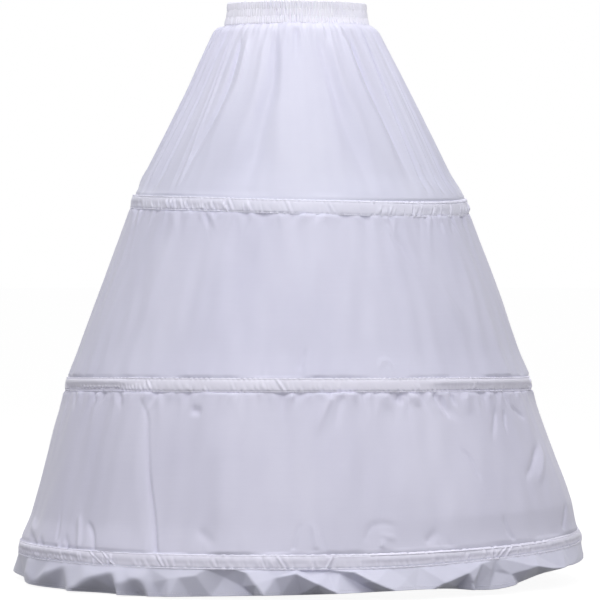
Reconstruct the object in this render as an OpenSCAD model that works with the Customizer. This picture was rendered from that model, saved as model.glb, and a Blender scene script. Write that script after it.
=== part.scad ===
// Crinoline cage: a full-length hooped underskirt of white taffeta.
// A gathered elastic waistband carries three tiers of cloth. A flat hoop runs in a sewn casing at the
// foot of each tier, and a free flounce hangs below the bottom hoop.
// Millimetres. The origin is the centre of the waist opening, at half the height of the waistband.
// +Z is up and -Y is the front.

/* [Waistband] */
// Diameter of the waist opening with the elastic relaxed
waist_d = 231; // [180:1:290]
// Height of the waistband
waist_h = 40; // [30:1:60]
// Rows of gathers between the lines of stitching
waist_rows = 3; // [2:1:5]
// Gathers round one row
waist_gathers = 110; // [60:2:150]
// How far one gather stands out
gather_depth = 3.4; // [2:0.1:5]
// How far the lowest row stands out beyond the top row
waist_flare = 7; // [4:0.5:12]
// Height of one line of stitching
stitch_h = 1.2; // [0.8:0.1:2]
// Thickness of the elastic
elastic_t = 1.6; // [1:0.1:3]

/* [Cloth] */
// Thickness of one layer of cloth
cloth_t = 0.8; // [0.5:0.05:1.2]
// Clearance between layers that are sewn together
layer_gap = 0.3; // [0.2:0.05:0.5]
// Height of the seam that joins the skirt to the waistband
waist_seam_h = 10; // [6:0.5:14]
// Height of the seam that joins two tiers
tier_seam_h = 4; // [3:0.5:6]
// How far a tier springs out below the casing above it
tier_spring = 10; // [4:0.5:14]

/* [Hoops] */
// Outer diameter of the top hoop
top_hoop_d = 582; // [480:1:660]
// Outer diameter of the middle hoop
middle_hoop_d = 814; // [700:1:880]
// Outer diameter of the bottom hoop
bottom_hoop_d = 979; // [900:1:1150]
// Distance from the middle of the waistband down to the top hoop
top_hoop_drop = 334; // [260:1:420]
// Distance from the middle of the waistband down to the middle hoop
middle_hoop_drop = 645; // [560:1:740]
// Distance from the middle of the waistband down to the bottom hoop
bottom_hoop_drop = 925; // [860:1:1050]
// Width of the flat hoop strip
hoop_w = 10; // [6:0.5:12]
// Thickness of the hoop strip
hoop_t = 1.6; // [1:0.1:2.4]
// Gap between the two ends of a hoop
hoop_end_gap = 3; // [1:0.5:10]

/* [Joiners] */
// Length of the sleeve that joins the ends of a hoop
joiner_l = 50; // [30:1:80]
// Wall of the joining sleeve
joiner_t = 0.6; // [0.4:0.1:0.8]

/* [Casings] */
// Height of a casing, with its two stitched edges
casing_h = 24; // [22:0.5:34]
// Height of one stitched edge of a casing
casing_edge_h = 2.5; // [2:0.25:4]
// Depth of the roll of cloth over the hoop
casing_roll = 5.9; // [5:0.1:9]

/* [Hang] */
// Lean of the top hoop, in degrees, the front going down
top_lean_front = 0.8; // [-2:0.1:2]
// Lean of the top hoop, in degrees, the +X side going down
top_lean_side = 0.9; // [-2:0.1:2]
// Lean of the middle hoop, in degrees, the front going down
middle_lean_front = -1.2; // [-2:0.1:2]
// Lean of the bottom hoop, in degrees, the +X side going down
bottom_lean_side = -1.3; // [-2:0.1:2]

/* [Folds] */
// Gathers round the top of the upper tier
skirt_gathers = 33; // [24:1:40]
// Depth of those gathers just below the waistband
skirt_gather_depth = 3.6; // [1:0.1:5]
// How far the upper tier springs out below the waistband
shoulder = 13; // [6:0.5:20]
// Depth of the soft folds that run down the tiers
fold_depth = 4; // [0:0.25:8]

/* [Hem] */
// Height of the flounce below the bottom casing
flounce_h = 43; // [30:1:80]
// How far the flounce stands out from the seam to the hem
flounce_flare = 11; // [6:0.5:25]
// How far the hem rises at the two sides
hem_lift = 14; // [0:1:20]
// Waves round the flounce
flounce_waves = 16; // [10:1:18]
// Depth of one wave at the hem
wave_depth = 7; // [2:0.5:9]
// Height of the turned and stitched hem
hem_fold_h = 9; // [5:0.5:14]

/* [Hidden] */

$fn = 96;
cloth_colour = [0.88, 0.88, 0.94];
casing_colour = [0.92, 0.92, 0.97];
elastic_colour = [0.95, 0.95, 0.95];
hoop_colour = [0.97, 0.97, 0.96];
joiner_colour = [0.75, 0.76, 0.78];

// Facets round each tube of cloth, a whole number for every gather or wave.
upper_facets = 4 * skirt_gathers;
tier_facets = 74;
flounce_facets = 9 * flounce_waves;

// The rings that the cloth hangs from: the waist, then the three hoops.
WAIST = 0;
TOP = 1;
MIDDLE = 2;
BOTTOM = 3;
ring_z = [0, -top_hoop_drop, -middle_hoop_drop, -bottom_hoop_drop];
ring_lean = [
    [0, 0], [top_lean_front, top_lean_side], [middle_lean_front, 0], [0, bottom_lean_side]
];
hoop_r = [0, top_hoop_d / 2, middle_hoop_d / 2, bottom_hoop_d / 2];

// A joiner wraps the hoop, and the cloth behind a hoop lies just inside the joiner.
joiner_reach = layer_gap + joiner_t;
function cloth_r(ring) = hoop_r[ring] - hoop_t - joiner_reach - layer_gap;
// A layer sewn behind the foot of a tier clears the flats of that tier's facets.
function lapped_r(ring, facets) = (cloth_r(ring) - cloth_t) * cos(180 / facets) - layer_gap;
function casing_top(ring) = ring_z[ring] + casing_h / 2;
function casing_foot(ring) = ring_z[ring] - casing_h / 2;

// Waistband layers, from the waist outwards.
waist_r = waist_d / 2;
elastic_r = waist_r + cloth_t + layer_gap;
ply_r = elastic_r + elastic_t + layer_gap;
band_foot = -waist_h / 2;
row_h = waist_h / waist_rows;
function row_r(row) = ply_r + waist_flare * pow(row / (waist_rows - 1), 2);
function row_foot(row) = waist_h / 2 - (row + 1) * row_h;
// Parts of a stitch line that reach into the gathers on each side, so that the band is one piece.
stitch_bite = 0.2;

// The mouth between the waistband's two plies, where the top of the skirt is sewn in.
mouth_inner_r = waist_r + cloth_t + layer_gap;
mouth_outer_r = row_r(waist_rows - 1) - layer_gap;
mouth_r = (mouth_inner_r + mouth_outer_r + cloth_t) / 2;
mouth_gather = (mouth_outer_r - mouth_inner_r - cloth_t) / 2 * 0.95;
seam_top = band_foot + min(waist_seam_h, row_h - stitch_h);

// Shapes of the folds, each from -1 to 1 round the skirt.
gather_wave = function(a) cos(skirt_gathers * a) * (0.75 + 0.25 * cos(5 * a + 40));
soft_wave = function(a) 0.6 * cos(13 * a + 20) + 0.4 * cos(8 * a + 100);
flounce_wave = function(a) cos(flounce_waves * a) * (0.7 + 0.3 * cos(4 * a + 70));

// A point turned by the lean of a ring, about the ring's centre.
function turned(p, lean) =
    let (y = p.y * cos(lean[0]) - p.z * sin(lean[0]), z = p.y * sin(lean[0]) + p.z * cos(lean[0]))
    [p.x * cos(lean[1]) + z * sin(lean[1]), y, -p.x * sin(lean[1]) + z * cos(lean[1])];
function hung(ring, p) =
    let (centre = [0, 0, ring_z[ring]])
    centre + turned(p - centre, ring_lean[ring]);
function mix(a, b, share) = a * (1 - share) + b * share;

// One ring of points. A level is [height, radius, gather depth, fold depth, share, thickness, lift], where
// the share says how far the level has gone from hanging like the upper ring to hanging like the lower,
// and the lift is how far the level rises at the two sides.
function ring_points(facets, level, upper, lower, inset, gather, fold) = [
    for (i = [0 : facets - 1])
        let (
            a = 360 * i / facets,
            r = level[1] + level[2] * gather(a) + level[3] * fold(a) - inset,
            p = [r * cos(a), r * sin(a), level[0] + level[6] * pow(cos(a), 2)]
        )
        mix(hung(upper, p), hung(lower, p), level[4])
];

// A closed tube of cloth through a list of levels, from the top down.
module cloth_tube(facets, levels, upper, lower, gather, fold) {
    last = len(levels) - 1;
    inner = len(levels) * facets;
    outer_points = [
        for (level = levels) each ring_points(facets, level, upper, lower, 0, gather, fold)
    ];
    inner_points = [
        for (level = levels) each ring_points(facets, level, upper, lower, level[5], gather, fold)
    ];
    function at(level, i) = level * facets + i % facets;
    walls = [
        for (j = [0 : last - 1], i = [0 : facets - 1])
            let (a = at(j, i), b = at(j, i + 1), c = at(j + 1, i), d = at(j + 1, i + 1))
            each [
                [a, b, d], [a, d, c],
                [inner + a, inner + d, inner + b], [inner + a, inner + c, inner + d]
            ]
    ];
    edges = [
        for (i = [0 : facets - 1])
            let (a = at(0, i), b = at(0, i + 1), c = at(last, i), d = at(last, i + 1))
            each [
                [a, inner + a, inner + b], [a, inner + b, b],
                [c, inner + d, inner + c], [c, d, inner + d]
            ]
    ];
    polyhedron(concat(outer_points, inner_points), concat(walls, edges));
}

// A plain ring between two radii.
module ring_band(inner_r, outer_r, foot, height) {
    translate([0, 0, foot])
    linear_extrude(height)
    difference() {
        circle(outer_r);
        circle(inner_r);
    }
}

// One row of gathers: a ply of cloth with a round ridge for every gather.
module gathered_row(row) {
    inner_r = row_r(row);
    base_r = inner_r + cloth_t;
    ridge_r = PI * base_r / waist_gathers * 0.85;
    ridge_at = base_r + gather_depth - ridge_r;
    translate([0, 0, row_foot(row) + stitch_h / 2])
    linear_extrude(row_h - stitch_h)
    difference() {
        union() {
            circle(base_r);
            for (i = [0 : waist_gathers - 1])
                rotate(360 * (i + 0.5 * (row % 2)) / waist_gathers)
                translate([ridge_at, 0])
                circle(ridge_r, $fn = 24);
        }
        circle(inner_r);
    }
}

// A line of stitching that draws one row in against the next.
module stitch_line(row) {
    ring_band(
        row_r(row), row_r(row + 1) + cloth_t,
        row_foot(row) - stitch_h / 2 - stitch_bite, stitch_h + 2 * stitch_bite
    );
}

module waistband() {
    fold_h = stitch_h / 2 + stitch_bite;
    color(casing_colour)
    union() {
        // Inner ply, then the fold over the top of the elastic.
        ring_band(waist_r, waist_r + cloth_t, band_foot, waist_h);
        ring_band(waist_r, ply_r + cloth_t, waist_h / 2 - fold_h, fold_h);
        for (row = [0 : waist_rows - 1]) gathered_row(row);
        for (row = [0 : waist_rows - 2]) stitch_line(row);
    }
}

module waist_elastic() {
    fold_h = stitch_h / 2 + stitch_bite;
    foot = seam_top + layer_gap;
    color(elastic_colour)
    ring_band(elastic_r, elastic_r + elastic_t, foot, waist_h / 2 - fold_h - layer_gap - foot);
}

// The heights between two rings at which the cloth is shaped.
function slope_z(upper_z, lower_z, share) = upper_z + (lower_z - upper_z) * share;

module upper_tier() {
    foot_r = cloth_r(TOP);
    // The cloth leaves the mouth of the waistband, turns over the shoulder and runs straight to the hoop.
    neck_z = band_foot - layer_gap - cloth_t;
    shoulder_z = neck_z - shoulder / 3;
    shoulder_r = mouth_r + shoulder + waist_flare / 2;
    hoop_z = casing_top(TOP);
    function sloped(share, gather, fold) = [
        slope_z(shoulder_z, hoop_z, share), slope_z(shoulder_r, foot_r, share),
        gather, fold, share, cloth_t, 0
    ];
    color(cloth_colour)
    cloth_tube(upper_facets, [
        [seam_top, mouth_r, mouth_gather, 0, 0, cloth_t, 0],
        [neck_z, mouth_r, mouth_gather, 0, 0, cloth_t, 0],
        sloped(0, skirt_gather_depth, 0),
        sloped(0.17, skirt_gather_depth * 0.8, fold_depth / 2),
        sloped(0.42, skirt_gather_depth * 0.4, fold_depth),
        sloped(0.72, 0, fold_depth * 0.9),
        [hoop_z, foot_r, 0, 0, 1, cloth_t, 0],
        [casing_foot(TOP), foot_r, 0, 0, 1, cloth_t, 0]
    ], WAIST, TOP, gather_wave, soft_wave);
}

// A tier that hangs from the seam behind one hoop to the next hoop.
module plain_tier(upper, lower, upper_facet_count) {
    seam_r = lapped_r(upper, upper_facet_count);
    foot_r = cloth_r(lower);
    neck_z = casing_foot(upper) - layer_gap - cloth_t;
    hoop_z = casing_top(lower);
    spring_z = neck_z - tier_spring;
    spring_r = seam_r + tier_spring;
    function sloped(share, fold) = [
        slope_z(spring_z, hoop_z, share), slope_z(spring_r, foot_r, share), 0, fold, share, cloth_t, 0
    ];
    color(cloth_colour)
    cloth_tube(tier_facets, [
        [casing_foot(upper) + tier_seam_h, seam_r, 0, 0, 0, cloth_t, 0],
        [neck_z, seam_r, 0, 0, 0, cloth_t, 0],
        sloped(0, 0),
        sloped(0.3, fold_depth * 0.8),
        sloped(0.7, fold_depth),
        [hoop_z, foot_r, 0, 0, 1, cloth_t, 0],
        [casing_foot(lower), foot_r, 0, 0, 1, cloth_t, 0]
    ], upper, lower, gather_wave, soft_wave);
}

module middle_tier() {
    plain_tier(TOP, MIDDLE, upper_facets);
}

module lower_tier() {
    plain_tier(MIDDLE, BOTTOM, tier_facets);
}

// The free flounce below the bottom hoop, with its hem turned up to a double layer.
module hem_flounce() {
    seam_r = lapped_r(BOTTOM, tier_facets);
    neck_z = casing_foot(BOTTOM) - layer_gap - cloth_t;
    hem_z = casing_foot(BOTTOM) - flounce_h;
    function falling(z, thickness) =
        let (share = (neck_z - z) / (neck_z - hem_z))
        [z, seam_r + flounce_flare * share, 0, wave_depth * share, 0, thickness, hem_lift * share];
    color(cloth_colour)
    cloth_tube(flounce_facets, [
        [casing_foot(BOTTOM) + tier_seam_h, seam_r, 0, 0, 0, cloth_t, 0],
        falling(neck_z, cloth_t),
        falling((neck_z + hem_z + hem_fold_h) / 2, cloth_t),
        falling(hem_z + hem_fold_h + cloth_t, cloth_t),
        falling(hem_z + hem_fold_h, 2 * cloth_t),
        falling(hem_z, 2 * cloth_t)
    ], BOTTOM, BOTTOM, gather_wave, flounce_wave);
}

// Puts what is drawn about the origin at a hoop, leaning as that hoop leans.
module at_hoop(ring) {
    translate([0, 0, ring_z[ring]])
    rotate([ring_lean[ring][0], ring_lean[ring][1], 0])
    children();
}

// A strip of cloth sewn along both edges, with a round roll between them that holds the hoop.
module casing(ring) {
    edge_r = cloth_r(ring) + layer_gap;
    roll_h = casing_h / 2 - casing_edge_h;
    half = casing_h / 2;
    step = 10;
    function roll(inset) = [
        for (a = [90 : -step : -90])
            [edge_r + cloth_t - inset + casing_roll * cos(a), roll_h * sin(a)]
    ];
    outline = concat(
        [[edge_r + cloth_t, half]], roll(0), [[edge_r + cloth_t, -half], [edge_r, -half]],
        [for (p = roll(cloth_t)) [p.x, -p.y]], [[edge_r, half]]
    );
    color(casing_colour)
    at_hoop(ring)
    rotate_extrude()
    polygon(outline);
}

module top_casing() {
    casing(TOP);
}

module middle_casing() {
    casing(MIDDLE);
}

module bottom_casing() {
    casing(BOTTOM);
}

// A flat strip bent round to a hoop, with its ends a little apart at the centre back.
module hoop(ring) {
    gap_angle = hoop_end_gap / hoop_r[ring] * 180 / PI;
    color(hoop_colour)
    at_hoop(ring)
    rotate([0, 0, 90 + gap_angle / 2])
    rotate_extrude(angle = 360 - gap_angle)
    translate([hoop_r[ring] - hoop_t, -hoop_w / 2])
    square([hoop_t, hoop_w]);
}

module top_hoop() {
    hoop(TOP);
}

module middle_hoop() {
    hoop(MIDDLE);
}

module bottom_hoop() {
    hoop(BOTTOM);
}

// A flattened sleeve, crimped over the two ends of a hoop.
module joiner(ring) {
    sleeve_angle = joiner_l / hoop_r[ring] * 180 / PI;
    color(joiner_colour)
    at_hoop(ring)
    rotate([0, 0, 90 - sleeve_angle / 2])
    rotate_extrude(angle = sleeve_angle)
    difference() {
        translate([hoop_r[ring] - hoop_t - joiner_reach, -hoop_w / 2 - joiner_reach])
        square([hoop_t + 2 * joiner_reach, hoop_w + 2 * joiner_reach]);
        translate([hoop_r[ring] - hoop_t - layer_gap, -hoop_w / 2 - layer_gap])
        square([hoop_t + 2 * layer_gap, hoop_w + 2 * layer_gap]);
    }
}

module top_hoop_joiner() {
    joiner(TOP);
}

module middle_hoop_joiner() {
    joiner(MIDDLE);
}

module bottom_hoop_joiner() {
    joiner(BOTTOM);
}

waistband();
waist_elastic();
upper_tier();
top_casing();
top_hoop();
top_hoop_joiner();
middle_tier();
middle_casing();
middle_hoop();
middle_hoop_joiner();
lower_tier();
bottom_casing();
bottom_hoop();
bottom_hoop_joiner();
hem_flounce();
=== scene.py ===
"""Dresses the crinoline cage: a gathered band, tiers of white taffeta, hoop casings and a hem flounce."""
import logging
import math
from dataclasses import dataclass, field
from enum import Enum
from typing import ClassVar

import bpy
import numpy as np
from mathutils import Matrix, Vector
from mathutils.geometry import delaunay_2d_cdt


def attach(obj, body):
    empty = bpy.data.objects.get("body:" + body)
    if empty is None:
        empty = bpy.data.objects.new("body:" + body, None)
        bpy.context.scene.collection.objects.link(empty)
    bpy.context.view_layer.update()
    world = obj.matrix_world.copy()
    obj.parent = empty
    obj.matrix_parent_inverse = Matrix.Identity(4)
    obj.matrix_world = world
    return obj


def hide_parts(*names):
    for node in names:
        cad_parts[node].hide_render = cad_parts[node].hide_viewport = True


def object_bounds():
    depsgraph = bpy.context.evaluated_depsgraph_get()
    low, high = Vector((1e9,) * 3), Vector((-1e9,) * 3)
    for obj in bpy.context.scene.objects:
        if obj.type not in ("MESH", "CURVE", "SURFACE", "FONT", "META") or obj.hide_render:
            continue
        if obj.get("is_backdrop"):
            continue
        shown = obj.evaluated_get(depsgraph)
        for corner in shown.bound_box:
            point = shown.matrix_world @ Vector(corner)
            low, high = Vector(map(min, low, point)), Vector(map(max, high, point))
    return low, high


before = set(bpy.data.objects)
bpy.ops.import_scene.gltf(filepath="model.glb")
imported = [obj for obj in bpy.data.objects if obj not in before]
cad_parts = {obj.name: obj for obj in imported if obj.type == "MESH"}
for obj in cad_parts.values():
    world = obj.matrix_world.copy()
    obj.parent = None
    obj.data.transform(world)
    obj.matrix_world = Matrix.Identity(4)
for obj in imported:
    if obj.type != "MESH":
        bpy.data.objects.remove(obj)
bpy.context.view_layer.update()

LOG = logging.getLogger("crinoline_cage")
FRONT = -math.pi / 2
MM = 0.001
Array = np.ndarray
Rng = np.random.Generator
Pair = tuple[float, float]
Colour = tuple[float, float, float]
Bumps = tuple[tuple[float, float, float], ...]


class Slot(Enum):
    """The record's finishes that the cloth pieces have."""

    TAFFETA = "taffeta"
    CASING = "casing_taffeta"


class Hold(Enum):
    """How a sheet of cloth is held."""

    GATHERED = "gathered"
    HUNG = "hung"
    STRETCHED = "stretched"


class End(Enum):
    """The end of a tier that a pucker starts from."""

    HEAD = "head"
    FOOT = "foot"


def wrapped(angle: Array) -> Array:
    """Brings angles to between minus and plus half a turn."""
    return (angle + math.pi) % (2 * math.pi) - math.pi


def eased(value: Array) -> Array:
    """Eases shares from 0 to 1, flat at both ends."""
    share = np.clip(value, 0, 1)
    return share * share * (3 - 2 * share)


class NodeBench:
    """Lays out the nodes of one material.

    Args:
        name: The material's name.
    """

    def __init__(self, name: str) -> None:
        """Starts an empty material with one output."""
        self.material = bpy.data.materials.new(name)
        self.material.use_nodes = True
        self.tree = self.material.node_tree
        self.tree.nodes.clear()
        self.output = self.tree.nodes.new("ShaderNodeOutputMaterial")

    def add(self, kind: str, **settings: object) -> bpy.types.Node:
        """Adds a node.

        Args:
            kind: The node's type, without its ShaderNode prefix.
            settings: Properties of the node, or socket names with underscores for blanks.

        Returns:
            The new node.
        """
        node = self.tree.nodes.new("ShaderNode" + kind)
        for key, value in settings.items():
            if hasattr(node, key):
                setattr(node, key, value)
            else:
                node.inputs[key.replace("_", " ")].default_value = value
        return node

    def link(self, source: bpy.types.NodeSocket, target: bpy.types.NodeSocket) -> None:
        """Links two sockets."""
        self.tree.links.new(source, target)

    def ramp(self, source: bpy.types.NodeSocket, low: Colour, high: Colour) -> bpy.types.NodeSocket:
        """Turns a value into a colour between two.

        Args:
            source: The value, from 0 to 1.
            low: Colour at 0.
            high: Colour at 1.

        Returns:
            The colour socket.
        """
        node = self.add("ValToRGB")
        node.color_ramp.elements[0].color = (*low, 1)
        node.color_ramp.elements[1].color = (*high, 1)
        self.link(source, node.inputs["Fac"])
        return node.outputs["Color"]

    def wave(self, vector: bpy.types.NodeSocket, direction: str, pitch: float) -> bpy.types.NodeSocket:
        """Makes even ribs across a sheet.

        Args:
            vector: Coordinates in metres.
            direction: Axis that the ribs follow each other along, X or Y.
            pitch: Distance from rib to rib, in metres.

        Returns:
            The height socket, from 0 to 1.
        """
        node = self.add("TexWave", bands_direction=direction, Scale=math.pi / 10 / pitch)
        self.link(vector, node.inputs["Vector"])
        return node.outputs["Fac"]

    def noise(self, vector: bpy.types.NodeSocket, scale: float, stretch: Colour = (1, 1, 1),
              detail: float = 3) -> bpy.types.NodeSocket:
        """Makes a soft noise.

        Args:
            vector: Coordinates in metres.
            scale: Blotches to a metre.
            stretch: Scale along each axis.
            detail: Octaves.

        Returns:
            The value socket, about 0.5.
        """
        mapping = self.add("Mapping")
        mapping.inputs["Scale"].default_value = stretch
        self.link(vector, mapping.inputs["Vector"])
        node = self.add("TexNoise", Scale=scale, Detail=detail)
        self.link(mapping.outputs["Vector"], node.inputs["Vector"])
        return node.outputs["Fac"]

    def math(self, operation: str, first: bpy.types.NodeSocket, second: bpy.types.NodeSocket | float
             ) -> bpy.types.NodeSocket:
        """Combines two values.

        Args:
            operation: Blender's name of the operation.
            first: The first value.
            second: The second value, a socket or a number.

        Returns:
            The result's socket.
        """
        node = self.add("Math", operation=operation)
        self.link(first, node.inputs[0])
        if isinstance(second, bpy.types.NodeSocket):
            self.link(second, node.inputs[1])
        else:
            node.inputs[1].default_value = second
        return node.outputs[0]

    def finish(self, shader: bpy.types.Node) -> bpy.types.Material:
        """Links the shader to the output and gives the material back."""
        self.link(shader.outputs[0], self.output.inputs["Surface"])
        return self.material


@dataclass(frozen=True)
class Taffeta:
    """A crisp plain-woven cloth with a soft sheen.

    Attributes:
        name: The finish's name.
        light: Linear colour where the cloth is clearest.
        shade: Linear colour of the faint cloudy patches.
        thread: Pitch of the weave, in metres.
        roughness: Middle roughness of the surface.
        sheen: Weight of the sheen.
        painted_light_bands: Shares of the way down the cloth, each with the share of the colour that is left
            there.
        They paint light and shade into the colour: shade that darkens a tier towards its foot, and highlights
        along a casing's turned edges.
        length: Length of the cloth from its head to its foot, in metres.
    """

    name: str
    light: Colour
    shade: Colour
    thread: float = 0.00042
    roughness: float = 0.52
    sheen: float = 0.16
    painted_light_bands: tuple[tuple[float, Colour], ...] = ()
    length: float = 1.0

    def material(self) -> bpy.types.Material:
        """Builds the material, with weave, slubs and cloudy colour."""
        bench = NodeBench(self.name)
        cloth = bench.add("UVMap", uv_map="cloth").outputs["UV"]
        place = bench.add("TexCoord").outputs["Object"]
        cloud = bench.noise(place, 7, (1, 1, 0.6), 4)
        slub = bench.noise(cloth, 90, (0.12, 6, 1), 2)
        tone = bench.math("MULTIPLY_ADD", slub, 0.16)
        tone.node.inputs[2].default_value = -0.08
        mixed = bench.math("ADD", cloud, tone)
        colour = bench.ramp(mixed, self.shade, self.light)
        colour.node.color_ramp.elements[0].position = 0.32
        colour.node.color_ramp.elements[1].position = 0.66
        # Painted light and shade: the colour is lightened or darkened band by band down the cloth.
        if self.painted_light_bands:
            colour = self.paint_light_bands(bench, cloth, colour)
        warp = bench.wave(cloth, "X", self.thread)
        weft = bench.wave(cloth, "Y", self.thread * 1.25)
        weave = bench.math("MAXIMUM", warp, weft)
        threads = bench.add("Bump", Strength=0.10, Distance=0.00006)
        bench.link(weave, threads.inputs["Height"])
        slubs = bench.add("Bump", Strength=0.12, Distance=0.0003)
        bench.link(slub, slubs.inputs["Height"])
        bench.link(threads.outputs["Normal"], slubs.inputs["Normal"])
        rough = bench.math("MULTIPLY_ADD", cloud, 0.14)
        rough.node.inputs[2].default_value = self.roughness - 0.07
        shader = bench.add("BsdfPrincipled", Sheen_Weight=self.sheen, Sheen_Roughness=0.45)
        shader.inputs["Specular IOR Level"].default_value = 0.32
        bench.link(colour, shader.inputs["Base Color"])
        bench.link(rough, shader.inputs["Roughness"])
        bench.link(slubs.outputs["Normal"], shader.inputs["Normal"])
        return bench.finish(shader)

    def paint_light_bands(self, bench: NodeBench, cloth: bpy.types.NodeSocket, colour: bpy.types.NodeSocket
               ) -> bpy.types.NodeSocket:
        """Paints light and shade into the colour, band by band down the cloth.

        Args:
            bench: The material's nodes.
            cloth: The map of the flat cloth.
            colour: The colour before the painted light and shade.

        Returns:
            The colour all the way down.
        """
        parts = bench.add("SeparateXYZ")
        bench.link(cloth, parts.inputs[0])
        down = bench.math("MULTIPLY", parts.outputs["Y"], -1 / self.length)
        tint = bench.ramp(down, self.painted_light_bands[0][1], self.painted_light_bands[-1][1])
        stops = tint.node.color_ramp.elements
        stops[0].position, stops[1].position = self.painted_light_bands[0][0], self.painted_light_bands[-1][0]
        for place, share in self.painted_light_bands[1:-1]:
            stops.new(place).color = (*share, 1)
        mix = bench.add("MixRGB", blend_type="MULTIPLY")
        mix.inputs["Fac"].default_value = 1
        bench.link(colour, mix.inputs["Color1"])
        bench.link(tint, mix.inputs["Color2"])
        return mix.outputs["Color"]


@dataclass(frozen=True)
class SewingThread:
    """Twisted white thread.

    Attributes:
        name: The finish's name.
        light: Colour on the strands.
        shade: Colour between the strands, a painted shade.
    """

    name: str = "white_thread"
    light: Colour = (0.86, 0.86, 0.93)
    shade: Colour = (0.70, 0.70, 0.79)

    def material(self) -> bpy.types.Material:
        """Builds the material, with a fine twist."""
        bench = NodeBench(self.name)
        place = bench.add("TexCoord").outputs["Object"]
        twist = bench.add("TexWave", bands_direction="DIAGONAL", Scale=math.pi / 10 / 0.0004)
        bench.link(place, twist.inputs["Vector"])
        bump = bench.add("Bump", Strength=0.3, Distance=0.0001)
        bench.link(twist.outputs["Fac"], bump.inputs["Height"])
        shader = bench.add("BsdfPrincipled", Roughness=0.55, Sheen_Weight=0.2)
        # Painted shade: the colour is darker between the strands.
        bench.link(bench.ramp(twist.outputs["Fac"], self.shade, self.light), shader.inputs["Base Color"])
        bench.link(bump.outputs["Normal"], shader.inputs["Normal"])
        return bench.finish(shader)


@dataclass(frozen=True)
class RibbedElastic:
    """Woven elastic, ribbed along its length."""

    name: str = "ribbed_elastic"
    light: Colour = (0.86, 0.86, 0.87)
    shade: Colour = (0.66, 0.66, 0.68)

    def material(self) -> bpy.types.Material:
        """Builds the material, with ribs and a knitted grain."""
        bench = NodeBench(self.name)
        place = bench.add("TexCoord").outputs["Object"]
        ribs = bench.wave(place, "Z", 0.0018)
        grain = bench.noise(place, 700, (1, 1, 0.3), 2)
        height = bench.math("MULTIPLY", ribs, grain)
        bump = bench.add("Bump", Strength=0.5, Distance=0.0004)
        bench.link(height, bump.inputs["Height"])
        shader = bench.add("BsdfPrincipled", Roughness=0.7, Sheen_Weight=0.15)
        # Painted shade: the colour is darker between the ribs.
        bench.link(bench.ramp(ribs, self.shade, self.light), shader.inputs["Base Color"])
        bench.link(bump.outputs["Normal"], shader.inputs["Normal"])
        return bench.finish(shader)


@dataclass(frozen=True)
class CoatedStrip:
    """A white plastic coat over a flat hoop strip."""

    name: str = "coated_strip"
    light: Colour = (0.86, 0.86, 0.85)
    shade: Colour = (0.78, 0.78, 0.77)

    def material(self) -> bpy.types.Material:
        """Builds the material, drawn along the strip and lightly scuffed."""
        bench = NodeBench(self.name)
        place = bench.add("TexCoord").outputs["Object"]
        drawn = bench.noise(place, 60, (0.4, 0.4, 20), 2)
        scuffs = bench.noise(place, 240, (1, 1, 1), 5)
        bump = bench.add("Bump", Strength=0.15, Distance=0.0002)
        bench.link(drawn, bump.inputs["Height"])
        rough = bench.math("MULTIPLY_ADD", scuffs, 0.3)
        rough.node.inputs[2].default_value = 0.25
        shader = bench.add("BsdfPrincipled")
        bench.link(bench.ramp(scuffs, self.shade, self.light), shader.inputs["Base Color"])
        bench.link(rough, shader.inputs["Roughness"])
        bench.link(bump.outputs["Normal"], shader.inputs["Normal"])
        return bench.finish(shader)


@dataclass(frozen=True)
class CrimpedSteel:
    """Thin sheet steel, brushed and crimped."""

    name: str = "crimped_steel"
    light: Colour = (0.60, 0.61, 0.63)
    shade: Colour = (0.42, 0.43, 0.45)

    def material(self) -> bpy.types.Material:
        """Builds the material, with brush marks along the sleeve."""
        bench = NodeBench(self.name)
        place = bench.add("TexCoord").outputs["Object"]
        brushed = bench.noise(place, 90, (0.3, 2, 14), 4)
        bump = bench.add("Bump", Strength=0.2, Distance=0.0001)
        bench.link(brushed, bump.inputs["Height"])
        rough = bench.math("MULTIPLY_ADD", brushed, 0.25)
        rough.node.inputs[2].default_value = 0.25
        shader = bench.add("BsdfPrincipled", Metallic=1.0)
        bench.link(bench.ramp(brushed, self.shade, self.light), shader.inputs["Base Color"])
        bench.link(rough, shader.inputs["Roughness"])
        bench.link(bump.outputs["Normal"], shader.inputs["Normal"])
        return bench.finish(shader)


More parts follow.
